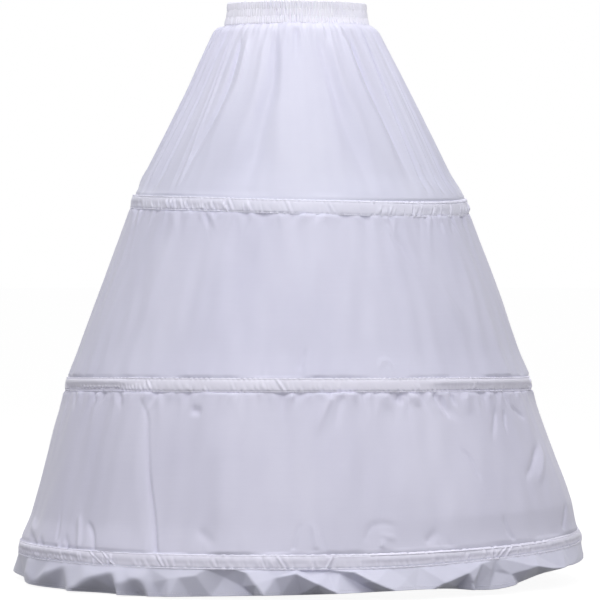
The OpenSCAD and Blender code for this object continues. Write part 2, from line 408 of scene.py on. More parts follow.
@dataclass(frozen=True)
class Ring:
    """A level that the cloth hangs from: the waist, or one of the hoops.

    Attributes:
        centre: Middle of the ring.
        turn: Rotation from level to the ring's lean.
        radius: Radius of the cloth at the ring.
        fuller: How much further the cloth stands out at the right.
        edge: How far the casing's top edge stands out from the cloth behind the hoop.
        slant: How much further its bottom edge stands out.
        rises: Places where the casing is drawn up, each as degrees from the front, half width in degrees,
            and millimetres.
        narrows: Places where the casing is narrower, each as degrees, half width in degrees, and the share
            of its height that is lost.
    """

    centre: Array
    turn: Array
    radius: float
    fuller: float = 0.0
    edge: float = 0.0
    slant: float = 0.0
    rises: Bumps = ()
    narrows: Bumps = ()

    CLOTH_BEHIND: ClassVar[float] = 2.8 * MM
    CASING_H: ClassVar[float] = 24 * MM
    TUCK: ClassVar[float] = 0.3 * MM

    @classmethod
    def waist(cls, radius: float) -> "Ring":
        """Makes the level ring of the waist."""
        return cls(np.zeros(3), np.eye(3), radius)

    @classmethod
    def of_hoop(cls, node: str, fuller: float, edge: float, slant: float, rises: Bumps = (),
                narrows: Bumps = ()) -> "Ring":
        """Reads a ring from a packed hoop.

        Args:
            node: The hoop's node.
            fuller: How much further the cloth stands out at the right.
            edge: How far the casing's top edge stands out.
            slant: How much further its bottom edge stands out.
            rises: Places where the casing is drawn up.
            narrows: Places where the casing is narrower.

        Returns:
            The ring, with the radius of the cloth behind the hoop.
        """
        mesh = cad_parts[node].data
        points = np.zeros(len(mesh.vertices) * 3)
        mesh.vertices.foreach_get("co", points)
        points = points.reshape(-1, 3)
        axis = np.linalg.svd(points - points.mean(0), full_matrices=False)[2][2]
        axis = axis if axis[2] > 0 else -axis
        across = np.cross([0.0, 1.0, 0.0], axis)
        across /= np.linalg.norm(across)
        turn = np.stack([across, np.cross(axis, across), axis], axis=1)
        flat = points @ turn
        circle = np.c_[2 * flat[:, :2], np.ones(len(flat))]
        fit = np.linalg.lstsq(circle, (flat[:, :2] ** 2).sum(1), rcond=None)[0]
        middle = np.array([fit[0], fit[1], (flat[:, 2].min() + flat[:, 2].max()) / 2])
        reach = np.hypot(flat[:, 0] - middle[0], flat[:, 1] - middle[1]).max()
        return cls(turn @ middle, turn, float(reach) - cls.CLOTH_BEHIND, fuller, edge, slant, rises, narrows)

    @property
    def casing_top(self) -> float:
        """Height of the top edge of the hoop's casing, before it leans."""
        return float(self.centre[2]) + self.CASING_H / 2

    @property
    def casing_foot(self) -> float:
        """Height of the bottom edge of the hoop's casing, before it leans."""
        return float(self.centre[2]) - self.CASING_H / 2

    @property
    def head_radius(self) -> float:
        """Radius at which the cloth below starts, tucked under the casing's bottom edge."""
        return self.radius + self.edge + self.slant - self.TUCK

    def out(self, angle: Array) -> Array:
        """Gives how much further the cloth stands out at each angle."""
        return self.fuller * (0.5 + 0.5 * np.cos(angle)) ** 2

    @staticmethod
    def bumped(bumps: Bumps, angle: Array) -> Array:
        """Sums soft bumps round the ring.

        Args:
            bumps: Each bump as degrees from the front, half width in degrees, and height.
            angle: Angle of each column.

        Returns:
            The sum in each column.
        """
        total = np.zeros(len(angle))
        for at, wide, high in bumps:
            away = np.degrees(wrapped(angle - FRONT - math.radians(at)))
            total += high * np.exp(-((away / wide) ** 2))
        return total

    def lift(self, height: Array, angle: Array) -> Array:
        """Gives how far points of the casing are moved up, where it is drawn up or narrower.

        Args:
            height: Height of each row above the middle of the casing.
            angle: Angle of each column.

        Returns:
            The lift at each row and column.
        """
        up = MM * self.bumped(self.rises, angle)
        return up[None, :] - np.reshape(height, (-1, 1)) * self.bumped(self.narrows, angle)[None, :]

    def foot_share(self, height: Array, rise: float) -> Array:
        """Gives how far a tier has come out to meet its casing's top edge, from 0 to 1.

        Args:
            height: Height of each point of the tier.
            rise: Height above the casing over which the tier comes out.

        Returns:
            The share at each point. It goes back to 0 behind the hoop.
        """
        above = eased(1 - (height - self.casing_top) / rise)
        behind = eased((height - self.casing_top) / (6 * MM) + 1)
        return np.where(height >= self.casing_top, above, behind)

    def hang(self, points: Array) -> Array:
        """Leans level points with the ring, about its centre."""
        return self.centre + (points - np.array([0, 0, self.centre[2]])) @ self.turn.T


@dataclass(frozen=True)
class Crease:
    """A fold line that somebody could point at.

    Attributes:
        path: Points as degrees from the front, and millimetres below the waist.
        depth: How far it stands out at its start and its end, in millimetres.
        width: Half its width at its start and its end, in millimetres.
        lean: Width of the right side as a share of the left side's.
        sharp: Power of its section: 2 is round, 1 is a crease.
    """

    path: tuple[Pair, ...]
    depth: Pair
    width: Pair
    lean: float = 1.0
    sharp: float = 2.0
    fade: Pair = (0.25, 0.25)


@dataclass
class FoldField:
    """Depths of folds over a grid of cloth: columns round the skirt, rows from the top down.

    Attributes:
        angle: Angle of each column.
        drop: Distance of each row down the cloth, from its visible head.
        below: Distance of each row below the waist.
        radius: Radius of each row.
    """

    angle: Array
    drop: Array
    below: Array
    radius: Array
    depth: Array = field(init=False)

    def __post_init__(self) -> None:
        """Starts with no folds."""
        self.depth = np.zeros((len(self.radius), len(self.angle)))

    def ridge(self, line: Array, depth: Array, left: Array, right: Array, sharp: float = 2.0) -> None:
        """Adds one fold that runs down the grid.

        Args:
            line: Angle of the fold in each row.
            depth: Depth in each row.
            left: Width of its left side in each row.
            right: Width of its right side in each row.
            sharp: Power of its section.
        """
        across = wrapped(self.angle[None, :] - line[:, None]) * self.radius[:, None]
        width = np.where(across < 0, left[:, None], right[:, None])
        self.depth += depth[:, None] * np.exp(-np.abs(across / width) ** sharp)

    def crease(self, crease: Crease, bold: float = 1.0) -> None:
        """Adds one fold along a path, with the path's corners rounded.

        Args:
            crease: The fold.
            bold: Factor on its depth.
        """
        path = np.array(crease.path, float)
        for _ in range(2):
            before, after = path[:-1], path[1:]
            cuts = np.stack([0.75 * before + 0.25 * after, 0.25 * before + 0.75 * after], axis=1)
            path = np.concatenate([path[:1], cuts.reshape(-1, 2), path[-1:]])
        reach = float(np.interp(path[:, 1].mean() * MM, self.below, self.radius))
        middle = path[:, 0].mean()
        knots = np.c_[np.radians(path[:, 0] - middle) * reach, path[:, 1] * MM]
        across = wrapped(self.angle - FRONT - math.radians(middle))[None, :] * reach
        down = self.below[:, None]
        lengths = np.hypot(*np.diff(knots, axis=0).T)
        starts = np.concatenate([[0], np.cumsum(lengths)])
        best = np.full(self.depth.shape, np.inf)
        side = np.zeros(self.depth.shape)
        along = np.zeros(self.depth.shape)
        for start, (u0, v0), (u1, v1), length in zip(starts, knots, knots[1:], lengths):
            du, dv = (u1 - u0) / length, (v1 - v0) / length
            run = np.clip((across - u0) * du + (down - v0) * dv, 0, length)
            away = np.hypot(across - u0 - run * du, down - v0 - run * dv)
            nearer = away < best
            best = np.where(nearer, away, best)
            side = np.where(nearer, (across - u0) * dv - (down - v0) * du, side)
            along = np.where(nearer, start + run, along)
        share = along / starts[-1]
        width = (crease.width[0] + (crease.width[1] - crease.width[0]) * share) * MM
        width = width * np.where(side > 0, crease.lean, 1.0)
        height = (crease.depth[0] + (crease.depth[1] - crease.depth[0]) * share) * bold * MM
        ends = eased(share / max(crease.fade[0], 1e-6)) * eased((1 - share) / max(crease.fade[1], 1e-6))
        self.depth += height * ends * np.exp(-((best / width) ** crease.sharp))

    def swell(self, rng: Rng, waves: tuple[int, int], count: int, depth: float,
              twist: float = 2.0) -> None:
        """Adds broad soft waves that drift as they run down.

        Args:
            rng: Source of the random draws.
            waves: Fewest and most waves round the skirt.
            count: How many wave trains are summed.
            depth: Depth of the sum, in metres.
            twist: How far a wave train drifts from head to foot, in radians.
        """
        share = (self.drop / max(self.drop.max(), 1e-6))[:, None]
        for _ in range(count):
            turns = int(rng.integers(waves[0], waves[1] + 1))
            phase, drift = rng.uniform(0, 2 * math.pi), rng.uniform(-twist, twist)
            rise = rng.uniform(0.5, 1.0) * depth / math.sqrt(count)
            self.depth += rise * np.cos(turns * self.angle[None, :] + phase + drift * share)


@dataclass
class ClothTube:
    """A tube of cloth between two rings, built as one fine grid.

    Attributes:
        name: The piece's name.
        node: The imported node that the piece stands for.
        columns: Points round the tube.
    """

    name: str
    node: str
    columns: int

    def angles(self) -> Array:
        """Gives the angle of each column."""
        return np.arange(self.columns) * 2 * math.pi / self.columns

    @staticmethod
    def sampled(knots: list[Pair], counts: list[int], smooth: int) -> Array:
        """Samples a profile through knots, and rounds its corners.

        Args:
            knots: Points as radius and height.
            counts: Rows between each two knots.
            smooth: Rounds of smoothing.

        Returns:
            Rows of radius and height, from the first knot to the last.
        """
        rows = [np.array(knots[:1])]
        for start, end, count in zip(knots, knots[1:], counts):
            share = (np.arange(count) + 1)[:, None] / count
            rows.append(np.array(start) * (1 - share) + np.array(end) * share)
        line = np.concatenate(rows)
        for _ in range(smooth):
            line[1:-1] = (line[:-2] + 2 * line[1:-1] + line[2:]) / 4
        return line

    @staticmethod
    def outward(line: Array) -> Array:
        """Gives the outward direction of each row of a profile, as radius and height."""
        run = np.gradient(line, axis=0)
        run /= np.maximum(np.linalg.norm(run, axis=1, keepdims=True), 1e-9)
        return np.stack([-run[:, 1], run[:, 0]], axis=1)

    def placed(self, line: Array, depth: Array, rings: tuple[Ring, Ring], share: Array,
               lift: Array | float = 0.0, level_push: bool = False) -> Array:
        """Turns a profile and its folds into points of the skirt.

        Args:
            line: Rows of radius and height.
            depth: Depth of the folds at each row and column.
            rings: The ring that the head hangs from, and the foot's.
            share: How far each row has gone from the first ring to the second.
            lift: Rise of each row and column.
            level_push: Whether folds stand out level, and not square to the profile.

        Returns:
            Points by row and column.
        """
        angle = self.angles()
        normal = np.array([[1.0, 0.0]]) if level_push else self.outward(line)
        radius = line[:, :1] + depth * normal[:, :1]
        height = line[:, 1:] + depth * normal[:, 1:] + lift
        level = np.stack([radius * np.cos(angle), radius * np.sin(angle), height], axis=2)
        weight = share[:, None, None]
        return rings[0].hang(level) * (1 - weight) + rings[1].hang(level) * weight

    def mesh(self, points: Array, line: Array) -> bpy.types.Object:
        """Makes the piece from its points, with a map of the flat cloth in metres.

        Args:
            points: Points by row and column.
            line: Rows of radius and height, for the map.

        Returns:
            The new object.
        """
        rows, columns = points.shape[:2]
        j, i = np.meshgrid(np.arange(rows - 1), np.arange(columns), indexing="ij")
        after = (i + 1) % columns
        here, below = j * columns, (j + 1) * columns
        faces = np.stack([here + i, below + i, below + after, here + after], axis=2).reshape(-1, 4)
        mesh = bpy.data.meshes.new(self.name)
        mesh.from_pydata(points.reshape(-1, 3).tolist(), [], faces.tolist())
        run = np.concatenate([[0], np.cumsum(np.linalg.norm(np.diff(line, axis=0), axis=1))])
        step = 2 * math.pi * line[:, 0].mean() / columns
        u = np.stack([i, i, i + 1, i + 1], axis=2) * step
        v = -np.stack([run[j], run[j + 1], run[j + 1], run[j]], axis=2)
        layer = mesh.uv_layers.new(name="cloth")
        layer.data.foreach_set("uv", np.stack([u, v], axis=3).astype(np.float32).ravel())
        mesh.polygons.foreach_set("use_smooth", np.ones(len(mesh.polygons), bool))
        mesh.update()
        piece = bpy.data.objects.new(self.name, mesh)
        bpy.context.collection.objects.link(piece)
        return piece

    def met(self, ring: Ring, height: Array, groove: float) -> Array:
        """Brings a tier's foot out to its casing, with a groove along the seam.

        Args:
            ring: The hoop's ring.
            height: Height of each row.
            groove: Depth of the groove.

        Returns:
            Depth at each row and column.
        """
        level = height[:, None] - ring.lift(ring.CASING_H / 2, self.angles())
        seam = np.exp(-(((level - ring.casing_top - 1.4 * MM) / (1.5 * MM)) ** 2))
        away = np.abs(np.degrees(wrapped(self.angles() - FRONT)))
        seam = seam * (0.6 + 1.8 * eased((away - 22) / 26))[None, :]
        stand = ring.edge - ring.TUCK + ring.out(self.angles())
        return ring.foot_share(level, 50 * MM) * stand[None, :] - groove * seam

    @staticmethod
    def seamed(start: Pair, ring: Ring) -> list[Pair]:
        """Gives the knots of a tier's straight fall: just above the casing, and at its top edge."""
        near = 9 * MM / (start[1] - ring.casing_top)
        foot = (ring.radius, ring.casing_top)
        return [(foot[0] + (start[0] - foot[0]) * near, foot[1] + (start[1] - foot[1]) * near), foot]

    def sewn(self, piece: bpy.types.Object, material: bpy.types.Material, slot: Slot) -> None:
        """Gives the piece its finish, hides the node that it stands for and lets it ride."""
        piece.data.materials.append(material)
        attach(piece, "root")
        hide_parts(self.node)
        LOG.info("%s: %d faces", piece.name, len(piece.data.polygons))


@dataclass
class StitchRow:
    """A row of short stitches that lie on the cloth.

    Attributes:
        name: The piece's name.
        pitch: Distance from stitch to stitch, in metres.
        length: Length of one stitch.
        thick: Radius of the thread.
    """

    name: str
    pitch: float = 3.4 * MM
    length: float = 2.5 * MM
    thick: float = 0.26 * MM

    SIDES: ClassVar[int] = 3
    TIP: ClassVar[Pair] = (0.5, -0.5)
    BODY: ClassVar[Pair] = (0.28, 0.45)

    def build(self, lines: list[tuple[Array, Array]], material: bpy.types.Material, slot: Slot
              ) -> bpy.types.Object:
        """Makes the stitches along closed lines on the cloth.

        Args:
            lines: For each line, its points and the outward direction at each.
            material: Finish of the thread.
            slot: The record's finish; not used.

        Returns:
            The new object.
        """
        points, faces = [], []
        turn = np.arange(self.SIDES) * 2 * math.pi / self.SIDES
        for line, out in lines:
            ring = np.concatenate([line, line[:1]])
            run = np.concatenate([[0], np.cumsum(np.linalg.norm(np.diff(ring, axis=0), axis=1))])
            count = int(run[-1] / self.pitch)
            at = (np.arange(count) + 0.5) * run[-1] / count
            middle = np.stack([np.interp(at, run, ring[:, k]) for k in range(3)], axis=1)
            later = (at + self.pitch / 2) % run[-1]
            ahead = np.stack([np.interp(later, run, ring[:, k]) for k in range(3)], axis=1)
            along = ahead - middle
            along /= np.linalg.norm(along, axis=1, keepdims=True)
            face = np.concatenate([out, out[:1]])
            up = np.stack([np.interp(at, run, face[:, k]) for k in range(3)], axis=1)
            up -= (up * along).sum(1, keepdims=True) * along
            up /= np.linalg.norm(up, axis=1, keepdims=True)
            side = np.cross(along, up)
            for m, a, u, s in zip(middle, along, up, side):
                first = len(points)
                (tip, sink), (body, rise) = self.TIP, self.BODY
                points.append(m - a * tip * self.length + u * sink * self.thick)
                for place in (-body, body):
                    centre = m + a * place * self.length + u * rise * self.thick
                    points.extend(centre + self.thick * (np.cos(t) * u + np.sin(t) * s) for t in turn)
                points.append(m + a * tip * self.length + u * sink * self.thick)
                near, far, last = first + 1, first + 1 + self.SIDES, first + 1 + 2 * self.SIDES
                for n in range(self.SIDES):
                    b = (n + 1) % self.SIDES
                    faces.append((first, near + b, near + n))
                    faces.append((near + n, near + b, far + b, far + n))
                    faces.append((far + n, far + b, last))
        mesh = bpy.data.meshes.new(self.name)
        mesh.from_pydata([tuple(p) for p in points], [], faces)
        mesh.polygons.foreach_set("use_smooth", np.ones(len(mesh.polygons), bool))
        mesh.update()
        piece = bpy.data.objects.new(self.name, mesh)
        bpy.context.collection.objects.link(piece)
        piece.data.materials.append(material)
        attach(piece, "root")
        LOG.info("%s: %d faces", piece.name, len(mesh.polygons))
        return piece


@dataclass
class Wardrobe:
    """The finishes that the pieces share."""

    band: bpy.types.Material
    upper: bpy.types.Material
    tier: bpy.types.Material
    lower: bpy.types.Material
    flounce: bpy.types.Material
    top_casing: bpy.types.Material
    middle_casing: bpy.types.Material
    bottom_casing: bpy.types.Material
    thread: bpy.types.Material

    @classmethod
    def made(cls) -> "Wardrobe":
        """Builds each finish once."""
        # All the cloth is one lavender-white taffeta; the brightness of each piece's tone is painted light
        # and shade, set lighter or darker to match how bright the piece shows.
        return cls(
            band=Taffeta("band_taffeta", (0.92, 0.91, 1.0), (0.89, 0.88, 0.98)).material(),
            # Painted shade: the upper tier's colour darkens towards its foot.
            upper=Taffeta("upper_taffeta", (0.75, 0.745, 0.88), (0.70, 0.695, 0.84), length=0.37,
                          painted_light_bands=((0.0, (1, 1, 1)), (1.0, (0.86, 0.87, 0.88)))).material(),
            tier=Taffeta("tier_taffeta", (0.67, 0.665, 0.805), (0.62, 0.615, 0.76)).material(),
            lower=Taffeta("lower_taffeta", (0.70, 0.69, 0.83), (0.65, 0.64, 0.785)).material(),
            flounce=Taffeta("flounce_taffeta", (0.68, 0.68, 0.81), (0.63, 0.63, 0.77)).material(),
            top_casing=cls.strip("top_casing_taffeta", (0.86, 0.855, 1.0), 0.96),
            middle_casing=cls.strip("middle_casing_taffeta", (0.88, 0.865, 1.0), 0.97),
            bottom_casing=cls.strip("bottom_casing_taffeta", (0.87, 0.855, 1.0), 0.96),
            thread=SewingThread().material(),
        )

    @staticmethod
    def strip(name: str, edge: Colour, middle_tone: float) -> bpy.types.Material:
        """Makes the finish of a casing, with a painted highlight that makes its turned edges paler than its
        middle.

        Args:
            name: The finish's name.
            edge: Colour of the turned edges, where the highlight is painted.
            middle_tone: Share of that colour in the middle, below the painted highlight of the edges.

        Returns:
            The material.
        """
        shade = tuple(part * 0.95 for part in edge)
        # Painted highlight: full colour along both stitched edges, a smaller share in the middle.
        pale, plain = (1.0, 1.0, 1.0), (middle_tone, middle_tone, middle_tone)
        painted_light_bands = ((0.0, pale), (0.13, pale), (0.17, plain), (0.84, plain), (0.88, pale))
        return Taffeta(name, edge, shade, painted_light_bands=painted_light_bands, length=HoopCasing.RUN).material()


@dataclass
class Waistband(ClothTube):
    """The doubled band of cloth that is gathered over the elastic.

    Attributes:
        inner_r: Radius of the waist opening.
        ply_r: Radius of the outer ply.
        elastic_r: Radius that the outer ply stays outside of, to clear the elastic.
        foot_gap: Height that is left free at the foot.
        flare: How much further out the foot stands than the top.
        fuller: How much further the outer ply stands out at the left.
        puff: How far a row bulges.
        gathers: Gathers round the band.
        PLY: Half the thickness of a ply.
        PHASES: Range of the random phases, in radians.
    """

    name: str = "gathered_waistband"
    node: str = "waistband"
    columns: int = 1600
    inner_r: float = 115.5 * MM
    ply_r: float = 118.9 * MM
    elastic_r: float = 118.5 * MM
    height: float = 40 * MM
    rows: int = 3
    foot_gap: float = 1.5 * MM
    flare: float = 5.0 * MM
    fuller: float = 4.0 * MM
    puff: float = 0.4 * MM
    gathers: int = 156
    gather_depth: float = 2.0 * MM
    flat: Pair = (1.00, 0.096)

    PLY: ClassVar[float] = 0.4 * MM
    PHASES: ClassVar[float] = 6.28

    def profile(self) -> tuple[Array, Array, Array]:
        """Lays the band out from the inner foot, over the top and down the outside.

        Returns:
            Rows of radius and height, the share of the gathers in each row, and the puff row's number.
        """
        half = self.height / 2
        inner = np.c_[np.full(4, self.inner_r + self.PLY), np.linspace(-half, half - 1 * MM, 4)]
        over = np.array([(self.inner_r + 1.0 * MM, half - 0.25 * MM), (self.inner_r + 2.2 * MM, half)])
        share = np.linspace(0, 1, 14)[1:]
        outer, weight, number = [], [], []
        for row in range(self.rows):
            place = (row + share) / self.rows
            height = half - place * (self.height - self.foot_gap)
            base = self.ply_r + self.flare * place ** 2
            bulge = np.sin(math.pi * share) ** 0.7
            outer.append(np.c_[base + self.PLY + self.puff * bulge, height])
            weight.append(0.68 + 0.32 * bulge)
            number.append(np.full(len(share), row))
        under = np.array([(outer[-1][-1, 0] - 1.6 * MM, outer[-1][-1, 1] + 0.3 * MM)])
        line = np.concatenate([inner, over, *outer, under])
        gather = np.concatenate([np.full(len(inner), 0.12), (0.25, 0.4), *weight, (0.1,)])
        rank = np.concatenate([np.full(len(inner) + len(over), -1), *number, (self.rows - 1,)])
        return line, gather, rank

    def wander(self, rng: Rng, heights: Pair, waves: tuple[int, ...],
               fading: bool = False) -> Array:
        """Sums waves round the band with random heights and phases.

        Args:
            rng: Source of the random draws.
            heights: Least and most height of a wave.
            waves: How many times each wave goes round.
            fading: Whether quicker waves are lower.

        Returns:
            The sum in each column.
        """
        total = 0
        for count in waves:
            height = rng.uniform(*heights) / (count if fading else 1)
            total = total + height * np.cos(count * self.angles() + rng.uniform(0, self.PHASES))
        return total

    def build(self, waist: Ring, cloths: Wardrobe, rng: Rng) -> bpy.types.Object:
        """Makes the band with its rows of gathers and its stitch lines.

        Args:
            waist: The waist's ring.
            cloths: The finishes.
            rng: Source of the random draws.

        Returns:
            The band.
        """
        line, gather, rank = self.profile()
        angle = self.angles()
        depth = np.zeros((len(line), self.columns))
        common = self.wander(rng, (1.5, 4), (3, 7, 13, 29), fading=True)
        for row in range(-1, self.rows):
            warp = self.wander(rng, (0.2, 0.6), (17, 29, 41, 53)) + 2.0 * common
            main = 2 * np.abs(np.cos((self.gathers * angle + warp) / 2)) - 1.2
            second = np.cos((self.gathers // 2 + 7) * angle - warp)
            third = np.cos((self.gathers // 4 + 3) * angle + warp)
            slow = np.cos(9 * angle + rng.uniform(0, self.PHASES))
            slower = np.cos(4 * angle + rng.uniform(0, self.PHASES))
            wave = (0.85 * main + 0.28 * second + 0.24 * third) * (0.8 + 0.4 * slow * slower)
            mask = (rank == row)[:, None]
            depth += np.where(mask, self.gather_depth * gather[:, None] * wave[None, :], 0)
        puffed = self.fuller * (1 - np.cos(angle))[None, :] / 2
        depth += np.where(rank >= 0, 1.0, 0.0)[:, None] * puffed
        clear = np.where(rank >= 0, self.elastic_r - line[:, 0], -self.gather_depth)
        depth = np.maximum(depth, clear[:, None])
        lift = np.zeros_like(depth)
        for row in range(self.rows - 1):
            seam = self.wander(rng, (0.2, 0.5), (5, 11, 23, 37)) * MM
            seam_z = self.height / 2 - (row + 1) * self.height / self.rows
            near = np.exp(-((line[:, 1] - seam_z) / (5 * MM)) ** 2)
            lift += np.where(rank >= 0, near, 0)[:, None] * 1.2 * seam[None, :]
        points = self.placed(line, depth, (waist, waist), np.zeros(len(line)), lift)
        piece = self.mesh(points, line)
        self.sewn(piece, cloths.band, Slot.TAFFETA)
        rows = [int(np.flatnonzero(rank == row)[-1]) for row in range(self.rows - 1)]
        rows.append(int(np.flatnonzero(rank == 0)[1]))
        rows.append(int(np.flatnonzero(rank == self.rows - 1)[-3]))
        stitched = [(points[row], radial(points[row])) for row in rows]
        stitches = StitchRow("waistband_stitches", 2.6 * MM, 1.9 * MM)
        thread = stitches.build(stitched, cloths.thread, Slot.TAFFETA)
        return piece


def radial(points: Array) -> Array:
    """Gives the level outward direction at each point."""
    out = points * np.array([1.0, 1.0, 0.0])
    return out / np.linalg.norm(out, axis=1, keepdims=True)


@dataclass
class UpperTier(ClothTube):
    """The gathered tier from the waistband to the top hoop.

    Attributes:
        bold: Factor on the depth of the front's folds.
        mouth_r: Radius of the seam inside the waistband.
        seam_top: Height of that seam.
        neck: Radius and height where the cloth leaves the band.
        turn: Radius and height where it turns outward.
        shoulder: Radius and height where its straight fall starts.
        slack: How far it hangs in at the left.
        HEAD_ROW: Row where it comes out from under the band.
        FOLDS: Long folds that the front shows.
    """

    name: str = "upper_tier_cloth"
    node: str = "upper_tier"
    columns: int = 900
    bold: float = 2.2
    mouth_r: float = 120.2 * MM
    seam_top: float = -11 * MM
    neck: Pair = (123.4 * MM, -18.0 * MM)
    turn: Pair = (127.4 * MM, -21.0 * MM)
    shoulder: Pair = (137.0 * MM, -29.5 * MM)
    slack: float = 3.0 * MM
    seam_groove: float = 1.0 * MM
    flat: Pair = (2.05, 0.40)
    flat_area: float = 0.62

    HEAD_ROW: ClassVar[int] = 3
    FOLDS: ClassVar[tuple[Crease, ...]] = (
        Crease(((-16.3, 30), (-13.9, 119), (-17.1, 189), (-17.6, 244), (-22.0, 292), (-24.7, 322)),
               (-1.8, -6.0), (8, 22), 1.3, 2, (0.1, 0.34)),
        Crease(((-12.0, 30), (-9.5, 119), (-12.0, 189), (-12.0, 260)),
               (1.2, 1.6), (8, 16), 1, 2, (0.15, 0.4)),
        Crease(((-24.0, 30), (-22.0, 119), (-25.0, 200), (-29.0, 300)),
               (1.4, 1.4), (8, 17), 1, 2, (0.15, 0.3)),
        Crease(((14.5, 34), (18.3, 119), (22.4, 195), (25.4, 271), (27.8, 322)),
               (-1.6, -5.6), (8, 21), 1.2, 2, (0.1, 0.34)),
        Crease(((21.0, 32), (24.0, 119), (28.0, 195), (32.0, 290)), (1.6, 1.4), (8, 15), 1, 2, (0.15, 0.3)),
        Crease(((-43.2, 32), (-40.1, 111), (-43.8, 194), (-47.9, 256), (-47.0, 312)),
               (-3.0, -2.2), (5, 8), 1.0, 1.6, (0.12, 0.3)),
        Crease(((-36.0, 32), (-34.0, 111), (-38.0, 194), (-42.0, 256)),
               (2.6, 2.0), (7, 12), 1, 2, (0.12, 0.4)),
        Crease(((37.3, 36), (40.1, 132), (44.5, 208), (46.1, 270), (46.0, 314)),
               (-2.6, -2.2), (5, 8), 1.0, 1.6, (0.12, 0.3)),
        Crease(((33.0, 34), (35.0, 132), (39.5, 208), (41.0, 280)), (2.2, 1.8), (7, 12), 1, 2, (0.12, 0.4)),
        Crease(((-1.4, 26), (-1.1, 102)), (-1.8, -1.0), (5, 9), 1, 2, (0.1, 0.6)),
    )

    def build(self, waist: Ring, hoop: Ring, cloths: Wardrobe, rng: Rng) -> bpy.types.Object:
        """Makes the tier with its gathers and its long folds.

        Args:
            waist: The waist's ring.
            hoop: The top hoop's ring.
            cloths: The finishes.
            rng: Source of the random draws.

        Returns:
            The tier.
        """
        knots = [(self.mouth_r, self.seam_top), self.neck, self.turn, self.shoulder,
                 *self.seamed(self.shoulder, hoop), (hoop.radius, hoop.casing_foot)]
        line = self.sampled(knots, [2, 3, 5, 56, 5, 4], 1)
        run = np.concatenate([[0], np.cumsum(np.linalg.norm(np.diff(line, axis=0), axis=1))])
        drop = np.clip(run - run[self.HEAD_ROW], 0, None)
        folds = FoldField(self.angles(), drop, -line[:, 1], line[:, 0])
        length = run[-5] - run[self.HEAD_ROW]
        self.gathered(folds, rng, 172, (0.7, 2.0), (1.7, 2.5), (12, 40), 0.02)
        self.gathered(folds, rng, 70, (1.4, 3.4), (3.0, 4.6), (40, 160), 0.05)
        share = drop / length
        wide = (6 + 11 * share) * MM
        for start in np.arange(78, 282, 11.0):
            middle = math.radians(start + rng.uniform(-3, 3)) + FRONT
            drift = math.radians(rng.uniform(-6, 6))
            side = 1 if rng.uniform() > 0.5 else -1
            rise = side * rng.uniform(2.2, 4.6) * MM * eased(drop / 0.03) * eased((1 - share) / 0.12)
            folds.ridge(middle + drift * share ** 1.5, rise, wide, wide * rng.uniform(0.7, 1.4))
        for crease in self.FOLDS:
            folds.crease(crease, self.bold)
        self.pleated(folds, rng, length)
        folds.swell(rng, (9, 15), 5, 1.2 * MM)
        folds.swell(rng, (34, 64), 6, 0.5 * MM, 1.0)
        left = (0.5 - 0.5 * np.cos(self.angles()))[None, :]
        folds.depth -= self.slack * left * eased((drop - 0.05) / 0.1)[:, None]
        head_z = line[self.HEAD_ROW, 1]
        share = np.clip((head_z - line[:, 1]) / (head_z - hoop.casing_top), 0, 1)
        held = eased((line[:, 1] - hoop.casing_top) / (14 * MM)) * (0.5 + 0.5 * eased(drop / 0.012))
        held[line[:, 1] < hoop.casing_top] = 0
        depth = folds.depth * held[:, None] + self.met(hoop, line[:, 1], self.seam_groove)
        points = self.placed(line, depth, (waist, hoop), share)
        piece = self.mesh(points, line)
        self.sewn(piece, cloths.upper, Slot.TAFFETA)
        return piece

    @staticmethod
    def pleated(folds: FoldField, rng: Rng, length: float) -> None:
        """Adds the close long pleats at both sides, each a ridge with a valley beside it.

        Args:
            folds: The field that they are added to.
            rng: Source of the random draws.
            length: Visible length of the tier, in metres.
        """
        share = folds.drop / length
        ends = eased(folds.drop / 0.02) * eased((1 - share) / 0.16)
        for side in (-1, 1):
            for step in range(9):
                start = side * (49 + 4.7 * step + rng.uniform(-2, 2))
                drift = side * rng.uniform(-3.5, 3.5)
                line = np.radians(start + drift * share) + FRONT
                wide = rng.uniform(2.8, 6.0) * (0.7 + 0.8 * share) * MM
                rise = rng.uniform(2.2, 6.2) * (0.95 - 0.45 * share) * MM * ends
                folds.ridge(line, rise, wide, wide, 1.7)
                folds.ridge(line + side * 1.7 * wide / folds.radius, -1.2 * rise, wide * 0.8, wide * 0.8, 1.7)

    @staticmethod
    def gathered(folds: FoldField, rng: Rng, count: int, depth: Pair,
                 width: Pair, length: Pair, growth: float) -> None:
        """Adds gathers that run down from the waistband and die out.

        Args:
            folds: The field that they are added to.
            rng: Source of the random draws.
            count: Gathers round the band.
            depth: Least and most depth, in millimetres.
            width: Least and most half width at the band, in millimetres.
            length: Least and most length, in millimetres.
            growth: How much wider a gather gets for each metre down.
        """
        for k in range(count):
            middle = (k + rng.uniform(-0.32, 0.32)) * 2 * math.pi / count
            reach = rng.uniform(*length) * MM
            rise = rng.uniform(*depth) * MM * np.exp(-((folds.drop / reach) ** 1.6))
            wide = rng.uniform(*width) * MM + growth * folds.drop
            folds.ridge(np.full(len(folds.drop), middle), rise, wide, wide * rng.uniform(0.7, 1.4))


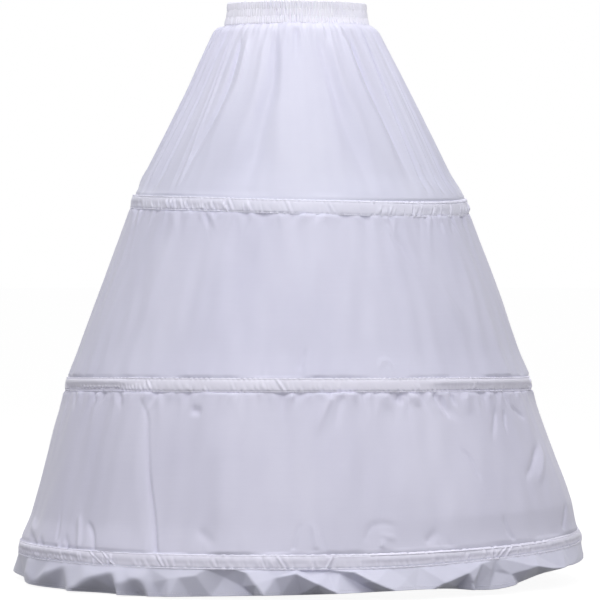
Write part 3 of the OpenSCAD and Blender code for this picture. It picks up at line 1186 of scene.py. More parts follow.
@dataclass
class PlainTier(ClothTube):
    """A tier that hangs from the seam behind one hoop's casing down to the next hoop.

    Attributes:
        folds: Fold lines that the front shows.
        head_puckers: Short puckers below the upper casing.
        foot_puckers: Short puckers above the lower casing.
        swell: Depth of the broad waves, in metres.
        pucker: Factor on the depth of the puckers below the upper casing.
        crumples: Random creases round the sides and the back.
        drift: How far the cloth hangs over to the right between its hoops.
        drift_at: Share of the way down where it hangs over most.
        slack: How far it hangs in at the left between its hoops.
        pulls: Places where the stitches of the casing above pull the cloth in.
        seam_groove: Depth of the groove along the seam of the casing below.
        spring: How far out and down the cloth springs from the casing above.
        seam_h: Height of the seam behind the casing above.
        HEAD_ROW: Row where the cloth comes out from under the casing above.
        SPRUNG_ROW: Row where its straight fall starts.
    """

    columns: int = 880
    rests_on: str = ""
    bold: float = 1.35
    folds: tuple[Crease, ...] = ()
    head_puckers: int = 84
    foot_puckers: int = 46
    swell: float = 1.9 * MM
    pucker: float = 1.0
    crumples: int = 14
    drift: float = 6.5 * MM
    drift_at: float = 0.45
    slack: float = 0.0
    pulls: int = 40
    seam_groove: float = 0.7 * MM
    spring: float = 2.2 * MM
    seam_h: float = 4 * MM
    flat: Pair = (2.6, 0.34)
    flat_area: float | None = None

    HEAD_ROW: ClassVar[int] = 2
    SPRUNG_ROW: ClassVar[int] = 6

    def build(self, upper: Ring, lower: Ring, material: bpy.types.Material, rng: Rng
              ) -> bpy.types.Object:
        """Makes the tier with its puckers, creases and soft waves.

        Args:
            upper: Ring of the hoop above.
            lower: Ring of the hoop below.
            material: Finish of the cloth.
            rng: Source of the random draws.

        Returns:
            The tier.
        """
        seam_r = upper.head_radius
        neck_z = upper.casing_foot
        head = (seam_r + self.spring, neck_z - self.spring)
        knots = [(seam_r, neck_z + self.seam_h), (seam_r, neck_z), head, *self.seamed(head, lower),
                 (lower.radius, lower.casing_foot)]
        line = self.sampled(knots, [2, 4, 60, 5, 4], 1)
        run = np.concatenate([[0], np.cumsum(np.linalg.norm(np.diff(line, axis=0), axis=1))])
        drop = np.clip(run - run[self.HEAD_ROW], 0, None)
        folds = FoldField(self.angles(), drop, -line[:, 1], line[:, 0])
        length = run[-5] - run[self.HEAD_ROW]
        folds.swell(rng, (7, 16), 6, self.swell)
        folds.swell(rng, (30, 70), 8, 0.6 * MM, 1.2)
        folds.swell(rng, (16, 60), 12, 0.7 * MM, 16.0)
        self.puckered(folds, rng, End.HEAD, self.head_puckers, length, self.pucker)
        self.puckered(folds, rng, End.FOOT, self.foot_puckers, length, 1.0)
        self.pulled(folds, rng, self.pulls, self.pucker)
        for _ in range(self.crumples):
            self.crumpled(folds, rng)
        for crease in self.folds:
            folds.crease(crease, self.bold)
        place = np.clip(drop / length, 0, 1)
        back = eased((1 - place) / (1 - self.drift_at))
        bow = np.where(place < self.drift_at, eased(place / self.drift_at), back)
        right = (0.5 + 0.5 * np.cos(self.angles())) ** 2
        left = (0.5 - 0.5 * np.cos(self.angles())) ** 2
        folds.depth += bow[:, None] * (self.drift * right - self.slack * left)[None, :]
        held = eased(drop / (4 * MM)) * eased((length - drop) / (6 * MM))
        held[line[:, 1] < lower.casing_top] = 0
        sprung_z = line[self.SPRUNG_ROW, 1]
        share = np.clip((sprung_z - line[:, 1]) / (sprung_z - lower.casing_top), 0, 1)
        depth = folds.depth * held[:, None] + self.met(lower, line[:, 1], self.seam_groove)
        depth += (1 - eased(place / 0.5))[:, None] * upper.out(self.angles())[None, :]
        lift = (1 - eased(place / 0.2))[:, None] * upper.lift(-Ring.CASING_H / 2, self.angles())
        points = self.placed(line, depth, (upper, lower), share, lift)
        piece = self.mesh(points, line)
        self.sewn(piece, material, Slot.TAFFETA)
        return piece

    @staticmethod
    def puckered(folds: FoldField, rng: Rng, end: End, count: int, length: float,
                 bold: float) -> None:
        """Adds short puckers that run out from a casing's stitching.

        Args:
            folds: The field that they are added to.
            rng: Source of the random draws.
            end: The end of the tier that they start from.
            count: Puckers round the tier.
            length: Visible length of the tier, in metres.
            bold: Factor on their depth.
        """
        away = folds.drop if end is End.HEAD else np.clip(length - folds.drop, 0, None)
        for k in range(count):
            middle = (k + rng.uniform(-0.5, 0.5)) * 2 * math.pi / count
            reach = rng.choice([9, 14, 22, 38, 60], p=[0.3, 0.3, 0.2, 0.14, 0.06])
            reach = reach * rng.uniform(0.7, 1.3) * MM
            rise = rng.choice([-1, 1]) * rng.uniform(0.35, 1.1) * bold * MM * np.exp(-((away / reach) ** 1.5))
            wide = rng.uniform(2.6, 4.6) * MM + 0.06 * away
            slant = rng.uniform(-0.35, 0.35) * away / folds.radius
            folds.ridge(middle + slant, rise, wide, wide * rng.uniform(0.6, 1.5))

    @staticmethod
    def pulled(folds: FoldField, rng: Rng, count: int, bold: float) -> None:
        """Adds pits where the stitches above pull the cloth in, with a puff on each side.

        Args:
            folds: The field that they are added to.
            rng: Source of the random draws.
            count: Pits round the tier.
            bold: Factor on their depth.
        """
        for k in range(count):
            middle = (k + rng.uniform(-0.45, 0.45)) * 2 * math.pi / count
            reach = rng.uniform(9, 26) * MM
            pit = rng.uniform(0.5, 1.6) * bold * MM * np.exp(-((folds.drop / reach) ** 1.4))
            puff = 0.7 * pit * eased(folds.drop / (8 * MM))
            wide = np.maximum(rng.uniform(5, 11) * MM - 0.12 * folds.drop, 2.5 * MM)
            line = middle + rng.uniform(-0.5, 0.5) * folds.drop / folds.radius
            folds.ridge(line, -pit, wide, wide, 2)
            for side in (-1, 1):
                folds.ridge(line + side * 1.9 * wide / folds.radius, puff, wide, wide, 2)

    @staticmethod
    def crumpled(folds: FoldField, rng: Rng) -> None:
        """Adds one random crease at the sides or the back.

        Args:
            folds: The field that it is added to.
            rng: Source of the random draws.
        """
        start = rng.uniform(78, 282)
        top, foot = folds.below[10] / MM, folds.below[-7] / MM
        low = rng.uniform(top, foot - 40)
        run = rng.uniform(30, 90)
        bend = rng.uniform(-6, 6)
        path = tuple((start + bend * s + rng.uniform(-1, 1), low + run * s) for s in (0, 0.4, 0.75, 1))
        folds.crease(Crease(path, (rng.uniform(-1.8, 1.8), rng.uniform(-1.4, 1.4)),
                            (rng.uniform(3, 6), rng.uniform(4, 8)), rng.uniform(0.6, 1.8), 1.5))


MIDDLE_FOLDS: tuple[Crease, ...] = (
    Crease(((34.7, 400), (45.6, 490), (54.9, 580)), (2.6, 1.8), (15, 24), 0.7, 2, (0.3, 0.4)),
    Crease(((31.0, 372), (36.5, 431), (38.3, 455), (40.9, 500)), (-1.8, -1.4), (8, 12), 1, 2, (0.2, 0.5)),
    Crease(((-21.9, 380), (-23.6, 495), (-24.3, 590)), (2.0, 1.6), (20, 30), 1, 2, (0.3, 0.3)),
    Crease(((-14.0, 380), (-16.0, 495), (-17.0, 590)), (-1.8, -1.4), (18, 26), 1, 2, (0.3, 0.3)),
    Crease(((5.0, 380), (3.0, 480), (-3.0, 600)), (1.8, 1.8), (16, 26), 1, 2, (0.3, 0.3)),
    Crease(((2.5, 575), (1.5, 591), (0.5, 622)), (-1.8, -1.8), (3.5, 5.0), 0.6, 1.5, (0.4, 0.2)),
    Crease(((19.7, 622), (21.1, 602), (23.2, 602), (24.4, 622)), (1.2, 1.2), (3.5, 3.5), 1, 1.6, (0.3, 0.3)),
    Crease(((-32.3, 350), (-27.1, 385)), (-1.6, -0.8), (3, 6), 1, 1.6, (0.1, 0.6)),
    Crease(((-29.9, 350), (-26.0, 380)), (1.6, 0.8), (3, 5), 1, 1.6, (0.1, 0.6)),
    Crease(((29.9, 352), (31.0, 380), (32.6, 421)), (-1.6, -1.0), (3.5, 8), 1, 1.6, (0.1, 0.6)),
    Crease(((61.3, 353), (57.4, 382)), (-1.8, -1.0), (4, 7), 1, 1.6, (0.1, 0.6)),
    Crease(((54.0, 353), (51.5, 384)), (-1.6, -0.8), (4, 7), 1, 1.6, (0.1, 0.6)),
    Crease(((-47.0, 380), (-44.0, 470), (-42.0, 560)), (1.6, 1.4), (22, 30), 1, 2, (0.3, 0.3)),
)

LOWER_FOLDS: tuple[Crease, ...] = (
    Crease(((-40.4, 664), (-36.5, 697), (-35.8, 730), (-34.0, 783), (-31.3, 845), (-29.1, 913)),
           (-1.2, -5.4), (4.6, 3.4), 0.45, 1.3, (0.05, 0.02)),
    Crease(((-38.0, 700), (-37.6, 760), (-35.4, 830), (-33.0, 900)), (0.8, 1.4), (12, 16), 1, 2, (0.3, 0.2)),
    Crease(((-25.7, 684), (-22.3, 688)), (-3.0, -3.0), (6, 5), 1, 2, (0.3, 0.3)),
    Crease(((8.3, 662), (6.0, 690), (4.0, 735)), (2.4, 1.8), (6, 10), 0.6, 1.7, (0.1, 0.5)),
    Crease(((10.5, 662), (9.0, 690), (8.0, 730)), (-2.0, -1.2), (5, 8), 1, 1.8, (0.1, 0.5)),
    Crease(((36.1, 662), (36.2, 680), (37.2, 706)), (-2.6, -2.4), (6, 6), 0.6, 1.5, (0.1, 0.4)),
    Crease(((33.0, 664), (34.0, 684), (36.0, 700)), (2.0, 1.2), (5, 5), 1, 1.6, (0.1, 0.4)),
    Crease(((38.0, 751), (40.4, 765), (41.3, 788), (42.0, 812)), (-2.0, -2.2), (4, 6), 0.5, 1.4, (0.3, 0.3)),
    Crease(((54.2, 680), (51.6, 717), (48.6, 747)), (-2.6, -2.0), (5, 6), 0.6, 1.5, (0.3, 0.4)),
    Crease(((69.4, 750), (63.6, 785), (56.7, 815)), (-3.2, -2.8), (7, 8), 0.6, 1.6, (0.3, 0.3)),
    Crease(((72.0, 745), (67.5, 790), (61.0, 825)), (2.4, 2.2), (8, 9), 1, 1.8, (0.3, 0.3)),
    Crease(((-1.0, 908), (0.2, 868), (1.6, 862)), (-1.8, -1.6), (3.5, 3.5), 0.7, 1.4, (0.1, 0.3)),
    Crease(((1.6, 864), (3.2, 869), (3.7, 908)), (1.8, 1.8), (3.5, 4), 0.8, 1.4, (0.3, 0.1)),
    Crease(((13.1, 900), (14.6, 871), (18.0, 868), (20.6, 877)), (-1.4, -1.3), (4, 5), 0.6, 1.4, (0.15, 0.3)),
    Crease(((16.1, 886), (20.2, 895)), (1.3, 1.3), (4, 4), 0.7, 1.5, (0.3, 0.3)),
    Crease(((16.5, 908), (17.2, 893)), (1.8, 1.2), (4, 4), 0.7, 1.5, (0.1, 0.4)),
    Crease(((-50.0, 862), (-46.9, 878), (-44.6, 912)), (-3.0, -3.2), (5, 5), 0.6, 1.4, (0.3, 0.05)),
    Crease(((-53.8, 850), (-50.6, 895), (-50.0, 912)), (2.6, 2.6), (7, 6), 1, 1.7, (0.3, 0.1)),
    Crease(((-56.5, 884), (-54.0, 912)), (-2.0, -3.4), (3.5, 6), 1, 1.6, (0.5, 0.02)),
    Crease(((-61.4, 838), (-60.2, 870), (-57.8, 912)), (-1.4, -2.2), (3, 3), 1, 1.4, (0.5, 0.05)),
    Crease(((-59.5, 892), (-57.0, 912)), (2.0, 2.6), (4, 5), 1, 1.7, (0.5, 0.02)),
    Crease(((-67.5, 896), (-64.0, 912)), (-2.6, -3.4), (5, 7), 1, 1.7, (0.5, 0.02)),
    Crease(((-76.0, 892), (-70.5, 905), (-67.0, 910)), (-3.6, -3.4), (7, 6), 1, 1.8, (0.4, 0.3)),
    Crease(((-80.0, 868), (-75.0, 884), (-70.0, 890)), (2.8, 2.0), (8, 7), 1, 1.8, (0.4, 0.3)),
    Crease(((24.0, 662), (25.4, 678)), (-3.4, -1.8), (7, 4), 1, 1.8, (0.02, 0.5)),
    Crease(((20.6, 662), (21.4, 690)), (2.2, 1.4), (6, 8), 1, 1.8, (0.05, 0.6)),
    Crease(((28.4, 662), (29.2, 684)), (2.4, 1.4), (7, 7), 1, 1.8, (0.05, 0.6)),
    Crease(((33.4, 662), (37.4, 688), (41.0, 712)), (-3.2, -1.8), (10, 7), 1, 2, (0.03, 0.5)),
    Crease(((39.0, 662), (40.0, 684)), (-3.6, -2.0), (3, 3), 1, 1.5, (0.03, 0.5)),
    Crease(((43.0, 664), (43.6, 700)), (2.6, 1.6), (8, 9), 1, 2, (0.1, 0.6)),
    Crease(((57.2, 690), (55.4, 732)), (-2.6, -2.0), (3.5, 4), 0.7, 1.5, (0.2, 0.4)),
    Crease(((60.6, 682), (63.5, 694), (67.0, 710)), (-2.8, -2.2), (5, 5), 0.7, 1.6, (0.3, 0.4)),
    Crease(((-69.0, 662), (-66.0, 690)), (-3.0, -1.6), (5, 6), 1, 1.7, (0.03, 0.6)),
    Crease(((-58.0, 662), (-56.0, 684)), (-2.6, -1.4), (4, 5), 1, 1.7, (0.03, 0.6)),
    Crease(((-47.5, 662), (-45.0, 690)), (-2.6, -1.4), (4, 6), 1, 1.7, (0.03, 0.6)),
    Crease(((46.1, 866), (46.6, 893), (48.4, 912)), (-2.0, -2.2), (4, 5), 0.6, 1.5, (0.3, 0.1)),
    Crease(((73.8, 860), (68.5, 905)), (-2.6, -2.6), (5, 5), 0.7, 1.5, (0.3, 0.1)),
    Crease(((25.9, 905), (29.7, 880)), (-2.2, -1.6), (6, 7), 1, 1.8, (0.2, 0.5)),
    Crease(((-18.0, 690), (-17.0, 800), (-15.0, 900)), (1.8, 1.8), (20, 26), 1, 2, (0.3, 0.3)),
    Crease(((24.0, 680), (23.0, 790), (22.0, 860)), (1.8, 1.6), (18, 24), 1, 2, (0.3, 0.3)),
    Crease(((-21.0, 872), (-18.5, 884), (-16.0, 905)), (-2.0, -1.2), (7, 9), 1, 1.8, (0.3, 0.4)),
)


@dataclass(frozen=True)
class Ruching:
    """A stretch of a casing that is drawn up in small puckers.

    Attributes:
        span: From and to, in degrees from the front.
        rows: Highest and lowest share of the casing's height that it reaches, from 0 at the top to 1.
        depth: Depth of the puckers, in millimetres.
        pitch: Distance from pucker to pucker, in millimetres.
        slant: How far a pucker runs to the right on its way down, in millimetres.
        stray: How far a pucker strays from its even place, as a share of the pitch.
    """

    span: Pair
    rows: Pair
    depth: float
    pitch: float
    slant: float = 8.0
    stray: float = 3.0


@dataclass
class HoopCasing(ClothTube):
    """The strip of cloth that is sewn over a hoop, with a stitched edge above and below its roll.

    Attributes:
        ruching: Stretches that are drawn up.
        pleats: Slanting pinches, each as degrees at the top, degrees at the foot, depth and half width in mm.
        droops: Stretches whose lower half hangs in, each as degrees from and to, and millimetres.
        flat: Flat size of the strip; not used.
        roll: How far the strip bulges between its stitched edges.
        roll_h: Half height of the bulge.
        sag: How far the bulge sags.
        groove: Depth of the groove below the top edge, at the sides and the back.
    """

    columns: int = 1900
    hoop: str = ""
    ruching: tuple[Ruching, ...] = ()
    pleats: tuple[tuple[float, float, float, float], ...] = ()
    droops: Bumps = ()
    flat: Pair = (1.9, 0.034)
    roll: float = 0.9 * MM
    roll_h: float = 8.8 * MM
    sag: float = -0.6 * MM
    groove: float = 0.9 * MM

    RUN: ClassVar[float] = 28 * MM
    HOOP_CLEAR: ClassVar[float] = 3.15 * MM
    HOOP_HALF: ClassVar[float] = 5.4 * MM
    BACKING: ClassVar[float] = 0.4 * MM

    def profile(self, ring: Ring) -> Array:
        """Lays out the strip's section.

        Args:
            ring: The hoop's ring.

        Returns:
            Rows of distance out from the cloth behind it, and height.
        """
        half = Ring.CASING_H / MM / 2
        top = [(-0.2, half - 0.9), (0.0, half - 0.1), (0.5, half - 0.2), (0.8, half - 1.2), (0.4, half - 2.4)]
        arc = np.linspace(80, -80, 13) * math.pi / 180
        bulge = 0.4 * MM + self.roll * np.cos(arc) ** 0.75
        roll = np.c_[bulge, self.roll_h * np.sin(arc) - self.sag * np.cos(arc)]
        foot = [(0.4, 2.5 - half), (0.8, 1.1 - half), (0.8, 0.3 - half), (0.3, -half), (0.0, 0.7 - half)]
        section = np.concatenate([np.array(top) * MM, roll, np.array(foot) * MM])
        section[:, 0] += ring.edge + ring.slant * (0.5 - section[:, 1] / Ring.CASING_H)
        return section

    def cleared(self, section: Array, depth: Array, degrees: Array, lift: Array) -> Array:
        """Keeps the strip outside the hoop, and outside the sleeve over the hoop's ends at the back.

        Args:
            section: The strip's section.
            depth: Depth at each row and column.
            degrees: Degrees from the front of each column.
            lift: How far the strip is moved up, at each row and column.

        Returns:
            The depth with nothing inside the hoop or the cloth behind it.
        """
        sleeve = 1.1 * MM * eased((180.0 - np.abs(degrees)) / -4 + 3)
        over = np.abs(section[:, 1:] + lift) < self.HOOP_HALF + 0.8 * sleeve[None, :]
        least = np.where(over, self.HOOP_CLEAR + sleeve[None, :], self.BACKING)
        return np.maximum(depth, least - section[:, :1])

    def build(self, ring: Ring, material: bpy.types.Material, thread_finish: bpy.types.Material,
              rng: Rng) -> bpy.types.Object:
        """Makes the casing with its puckers and its two rows of stitches.

        Args:
            ring: The hoop's ring.
            material: Finish of the strip.
            thread_finish: Finish of the stitches.
            rng: Source of the random draws.

        Returns:
            The casing.
        """
        section = self.profile(ring)
        line = section + np.array([ring.radius, ring.centre[2]])
        share = np.clip((ring.casing_top - line[:, 1]) / Ring.CASING_H, 0, 1)
        folds = FoldField(self.angles(), share * Ring.CASING_H, -line[:, 1], line[:, 0])
        body = np.sqrt(np.clip(1 - (section[:, 1] / self.roll_h) ** 2, 0, 1))
        folds.swell(rng, (11, 40), 6, 0.35 * MM)
        self.drawn(folds, rng, Ruching((-180, 180), (0.3, 1.0), 0.4, 13), share)
        for ruche in self.ruching:
            self.drawn(folds, rng, ruche, share)
        for top, foot, depth, width in self.pleats:
            self.pinched(folds, share, top, foot, depth, width)
        folds.depth *= (0.4 + 0.6 * body)[:, None]
        degrees = np.degrees(wrapped(self.angles() - FRONT))
        lift = ring.lift(section[:, 1], self.angles())
        base = np.zeros_like(folds.depth)
        base[4] -= self.groove * eased((np.abs(degrees) - 25) / 30)
        hollow = eased((share - 0.42) / 0.2) * (1 - eased((share - 0.88) / 0.05))
        brow = 0.4 * eased(share / 0.2) * (1 - eased((share - 0.3) / 0.2))
        for start, end, inward in self.droops:
            window = eased((degrees - start) / 9) * eased((end - degrees) / 9)
            base += inward * MM * window[None, :] * (brow - hollow)[:, None]
        folds.depth += self.cleared(section, base, degrees, lift)
        folds.depth = self.cleared(section, folds.depth, degrees, lift) + ring.out(self.angles())[None, :]
        flutter = FoldField(folds.angle, folds.drop, folds.below, folds.radius)
        flutter.swell(rng, (120, 300), 9, 0.55 * MM, 0.5)
        folds.depth += flutter.depth * np.clip(1 - 1.6 * body, 0, 1)[:, None]
        points = self.placed(line, folds.depth, (ring, ring), np.zeros(len(line)), lift)
        piece = self.mesh(points, line)
        self.sewn(piece, material, Slot.CASING)
        stitches = []
        for row in (3, len(line) - 4):
            out = radial(points[row] - ring.centre)
            stitches.append((points[row] + out * 0.1 * MM, out))
        thread = StitchRow(self.name + "_stitches").build(stitches, thread_finish, Slot.CASING)
        return piece

    @staticmethod
    def drawn(folds: FoldField, rng: Rng, ruche: Ruching, share: Array) -> None:
        """Draws up one stretch of the casing.

        Args:
            folds: The field that the puckers are added to.
            rng: Source of the random draws.
            ruche: The stretch.
            share: Share of the casing's height of each row.
        """
        arc = math.radians(ruche.span[1] - ruche.span[0])
        count = int(arc * folds.radius.mean() / (ruche.pitch * MM))
        middle_row, half_row = sum(ruche.rows) / 2, (ruche.rows[1] - ruche.rows[0]) / 2
        for k in range(count):
            spot = ((k + 0.5 + rng.uniform(-1, 1) * ruche.stray) / count) % 1
            edge = min(1.0, 8 * spot, 8 * (1 - spot)) if arc < 6 else 1.0
            at = FRONT + math.radians(ruche.span[0]) + arc * spot
            height = middle_row + rng.uniform(-0.3, 0.3) * half_row
            reach = half_row * rng.uniform(0.6, 1.1)
            slant = rng.uniform(0.1, 1.2) * ruche.slant * MM / folds.radius.mean()
            loose = min(1.0, ruche.stray)
            rise = edge * (1 - 0.8 * loose + 1.3 * loose * rng.uniform() ** 1.5) * ruche.depth * MM
            rise = rise * np.exp(-(((share - height) / reach) ** 2))
            wide = np.full(len(share), ruche.pitch * MM * (0.24 + loose * rng.uniform(-0.06, 0.16)))
            line = at + slant * (share - 0.5)
            folds.ridge(line, rise, wide, wide * 0.7, 1.6)
            folds.ridge(line + 1.4 * wide / folds.radius, -0.8 * rise, wide * 0.5, wide * 0.5, 1.6)

    @staticmethod
    def pinched(folds: FoldField, share: Array, top: float, foot: float, depth: float, width: float) -> None:
        """Pinches the strip up into a narrow ridge with a valley on each side.

        Args:
            folds: The field that the pinch is added to.
            share: Share of the casing's height of each row.
            top: Degrees from the front at the top edge.
            foot: Degrees from the front at the bottom edge.
            depth: How far the ridge stands out, in millimetres.
            width: Half width of the ridge, in millimetres.
        """
        line = np.radians(top + (foot - top) * share) + FRONT
        rise = depth * MM * (0.45 + 0.55 * np.sin(math.pi * share))
        wide = np.full(len(share), width * MM)
        folds.ridge(line, rise, wide, wide, 1.6)
        for side in (-1, 1):
            folds.ridge(line + side * 2.2 * wide / folds.radius, -0.6 * rise, wide, wide, 1.6)


@dataclass
class HemFlounce(ClothTube):
    """The free strip below the bottom hoop, stiff enough to break into flat facets.

    Attributes:
        BREAKS: Fold lines of the front. A point is degrees from the front, the share of the way from the
            casing to the hem, and how far the cloth stands out there, in millimetres.
        DIPS: Places where the hem hangs lower, each as degrees, half width in degrees, and millimetres.
        swing: How much the hem rises for each metre that it stands out.
        bold: Factor on how far the folds stand out.
    """

    name: str = "hem_flounce_cloth"
    node: str = "hem_flounce"
    columns: int = 1250
    height: float = 43 * MM
    flare: float = 5.0 * MM
    hem_lift: float = 14 * MM
    swing: float = 0.077
    bold: float = 1.2
    turn_up: float = 5 * MM
    flat: Pair = (3.3, 0.065)

    DIPS: ClassVar[Bumps] = (
        (-62, 20, 8.0), (-32, 15, 5.0), (42, 11, 14.0), (66, 7, -3.0), (92, 18, -9.0))
    BREAKS: ClassVar[tuple[Bumps, ...]] = (
        ((-90, 0.5, 3), (-90, 1, 5)),
        ((-81, 0.4, -4), (-79, 1, -9)),
        ((-70, 0.06, 4), (-69, 0.55, 9), (-67.5, 1, 6)),
        ((-64.5, 0.84, 6), (-59.8, 0.47, 11), (-53.4, 0.07, 4)),
        ((-63, 1, -4), (-58, 1, -13), (-54, 1, -8)),
        ((-50.3, 1, 12), (-47.7, 0.85, 14), (-45.3, 0.55, 15), (-43.4, 0.36, 13), (-38.9, 0.16, 8)),
        ((-47.0, 1, -8), (-44.0, 1, -20), (-39.2, 1, -22)),
        ((-38.4, 0.15, 9), (-37.6, 0.55, 15), (-36.9, 1, 17)),
        ((-36.0, 1, 8), (-34.9, 0.5, 10), (-33.7, 0.34, 11), (-32.1, 0.36, 10), (-31.2, 0.55, 9),
         (-30.2, 1, 8)),
        ((-34.6, 1, -13), (-31.8, 1, -14)),
        ((-29.2, 0.5, 2), (-28.2, 1, -4)),
        ((-25.8, 0.35, 6), (-25.2, 1, 11)),
        ((-23.5, 0.3, 6), (-20.0, 0.22, 4)),
        ((-21.5, 1, -6), (-17.5, 1, -7)),
        ((-18.6, 0.04, 1), (-14.7, 0.30, -9), (-11.2, 0.65, -13), (-8.9, 1, -15)),
        ((-15.0, 1, -5), (-12.2, 1, -8)),
        ((-10.0, 0.08, 5), (-8.0, 0.55, 14), (-6.5, 1, 17)),
        ((-4.4, 0.3, 5), (-3.4, 1, -4)),
        ((-0.4, 0.12, 6), (3.8, 0.55, 14), (7.1, 1, 17)),
        ((0.4, 1, -16), (4.8, 1, -18)),
        ((1.0, 0.05, -3), (5.4, 0.07, -3)),
        ((8.1, 0.18, 0), (11.8, 0.60, -8), (15.4, 1, -13)),
        ((10.6, 0.10, 6), (14.2, 0.55, 15), (17.9, 1, 18)),
        ((21.0, 0.5, 6), (22.5, 1, 9)),
        ((26.3, 1, 13), (28.5, 0.72, 15), (34.0, 0.36, 12), (38.0, 0.08, 4)),
        ((28.8, 1, -14), (33.9, 1, -18)),
        ((34.5, 0.38, 11), (34.8, 0.7, 13), (35.1, 1, 13)),
        ((36.8, 1, -6), (40.0, 1, -2)),
        ((40.6, 0.35, 2), (41.8, 0.40, -3), (43.2, 0.35, 3)),
        ((46.0, 1, 9), (45.4, 0.6, 6)),
        ((44.5, 0.04, 2), (52.1, 0.43, 14), (62.0, 0.93, 15)),
        ((50.0, 1, -12), (57.5, 1, -14)),
        ((67.0, 1, 10), (74.0, 0.6, 5)),
        ((80.0, 1, 4), (90.0, 1, 0)),
    )

    def breaks(self, rng: Rng) -> list[Bumps]:
        """Gives the front's fold lines, and random ones of the same kind for the sides and the back.

        Args:
            rng: Source of the random draws.

        Returns:
            The fold lines.
        """
        lines = list(self.BREAKS)
        at = 97.0
        while at < 262:
            wide = rng.uniform(7, 13)
            way = rng.choice([-1, 1])
            start, end = (at, at + wide * 0.8) if way > 0 else (at + wide * 0.8, at)
            high = rng.uniform(6, 12)
            lines.append(((start, 0.06, high * 0.4), ((start + end) / 2, rng.uniform(0.4, 0.6), high * 0.9),
                          (end, 1, high)))
            tuck = start + (end - start) * rng.uniform(0.05, 0.35)
            lines.append(((tuck - 1.2, 1, rng.uniform(-12, -5)), (tuck + 1.2, 1, rng.uniform(-12, -5))))
            at += wide + rng.uniform(0.5, 3)
        return lines

    def facets(self, rng: Rng, angle: Array, share: Array) -> Array:
        """Spans flat facets between the fold lines.

        Args:
            rng: Source of the random draws.
            angle: Degrees from the front of each column, from -180 to 180.
            share: Share of the way to the hem of each row.

        Returns:
            How far the cloth stands out at each row and column, in metres.
        """
        long, tall = 8.6, 43.0
        verts, edges, out = [], [], []

        def put(degrees: float, down: float, stand: float) -> int:
            """Notes one point of a fold line.

            Args:
                degrees: Degrees from the front.
                down: Share of the way to the hem.
                stand: How far the cloth stands out there, in millimetres.

            Returns:
                The point's number.
            """
            verts.append(Vector((degrees * long, down * tall)))
            out.append(stand)
            return len(verts) - 1

        for path in self.breaks(rng):
            for turn in (-360, 0, 360):
                if -200 < path[0][0] + turn < 200:
                    ids = [put(d + turn, s, h) for d, s, h in path]
                    edges.extend(zip(ids, ids[1:]))
        head = [put(d, 0, 0) for d in np.arange(-204, 205, 6.0)]
        edges.extend(zip(head, head[1:]))
        made, _, faces, origins, _, _ = delaunay_2d_cdt(verts, edges, [], 0, 1e-5, True)
        heights = [float(np.mean([out[k] for k in src])) if src else 0.0 for src in origins]
        x, y = np.meshgrid(angle * long, share * tall)
        stand = np.zeros_like(x)
        for tri in faces:
            (x0, y0), (x1, y1), (x2, y2) = (made[k] for k in tri)
            area = (x1 - x0) * (y2 - y0) - (x2 - x0) * (y1 - y0)
            if abs(area) < 1e-9:
                continue
            b = ((x - x0) * (y2 - y0) - (x2 - x0) * (y - y0)) / area
            c = ((x1 - x0) * (y - y0) - (x - x0) * (y1 - y0)) / area
            inside = (b >= -1e-6) & (c >= -1e-6) & (b + c <= 1 + 1e-6)
            h0, h1, h2 = (heights[k] for k in tri)
            stand = np.where(inside, h0 + (h1 - h0) * b + (h2 - h0) * c, stand)
        return stand * self.bold * MM

    def build(self, ring: Ring, cloths: Wardrobe, rng: Rng) -> bpy.types.Object:
        """Makes the flounce with its facets, its turned hem and its stitches.

        Args:
            ring: The bottom hoop's ring.
            cloths: The finishes.
            rng: Source of the random draws.

        Returns:
            The flounce.
        """
        seam_r = ring.head_radius
        neck_z = ring.casing_foot
        hem_r = seam_r + self.flare
        hem_z = neck_z - self.height
        line = self.sampled([(seam_r, neck_z + 4 * MM), (seam_r, neck_z), (hem_r, hem_z)], [2, 40], 1)
        lip = (hem_r - 0.9 * MM, hem_z + 0.2 * MM)
        turned = self.sampled([lip, (hem_r - 1.4 * MM, hem_z + self.turn_up)], [4], 0)
        section = np.concatenate([line, turned])
        hem = len(line) - 1
        share = np.clip((neck_z - section[:, 1]) / (neck_z - hem_z), 0, 1)
        degrees = np.degrees(wrapped(self.angles() - FRONT))
        stand = self.facets(rng, degrees, share)
        stand = self.softened(stand, 1)
        drape = np.maximum(eased((-14 - degrees) / 24), eased((degrees - 85) / 15))
        stand = stand + drape[None, :] * (self.softened(stand, 14) - stand)
        ripple = FoldField(self.angles(), share * self.height, -section[:, 1], section[:, 0])
        ripple.swell(rng, (40, 90), 6, 0.35 * MM, 4.0)
        fuller = (1 - 0.6 * share)[:, None] * ring.out(self.angles())[None, :]
        stand = stand + ripple.depth * share[:, None] + fuller
        lift = share[:, None] * self.hem_rise(degrees, stand[hem], section[hem, 0])[None, :]
        lift = lift + (1 - share)[:, None] * ring.lift(-Ring.CASING_H / 2, self.angles())
        points = self.placed(section, stand, (ring, ring), np.zeros(len(section)), lift, level_push=True)
        piece = self.mesh(points, section)
        self.sewn(piece, cloths.flounce, Slot.TAFFETA)
        row = points[hem - 5]
        seam = row + radial(row) * 0.15 * MM
        stitches = StitchRow("hem_stitches", 4.4 * MM, 3.2 * MM, 0.36 * MM)
        thread = stitches.build([(seam, radial(row))], cloths.thread, Slot.TAFFETA)
        return piece

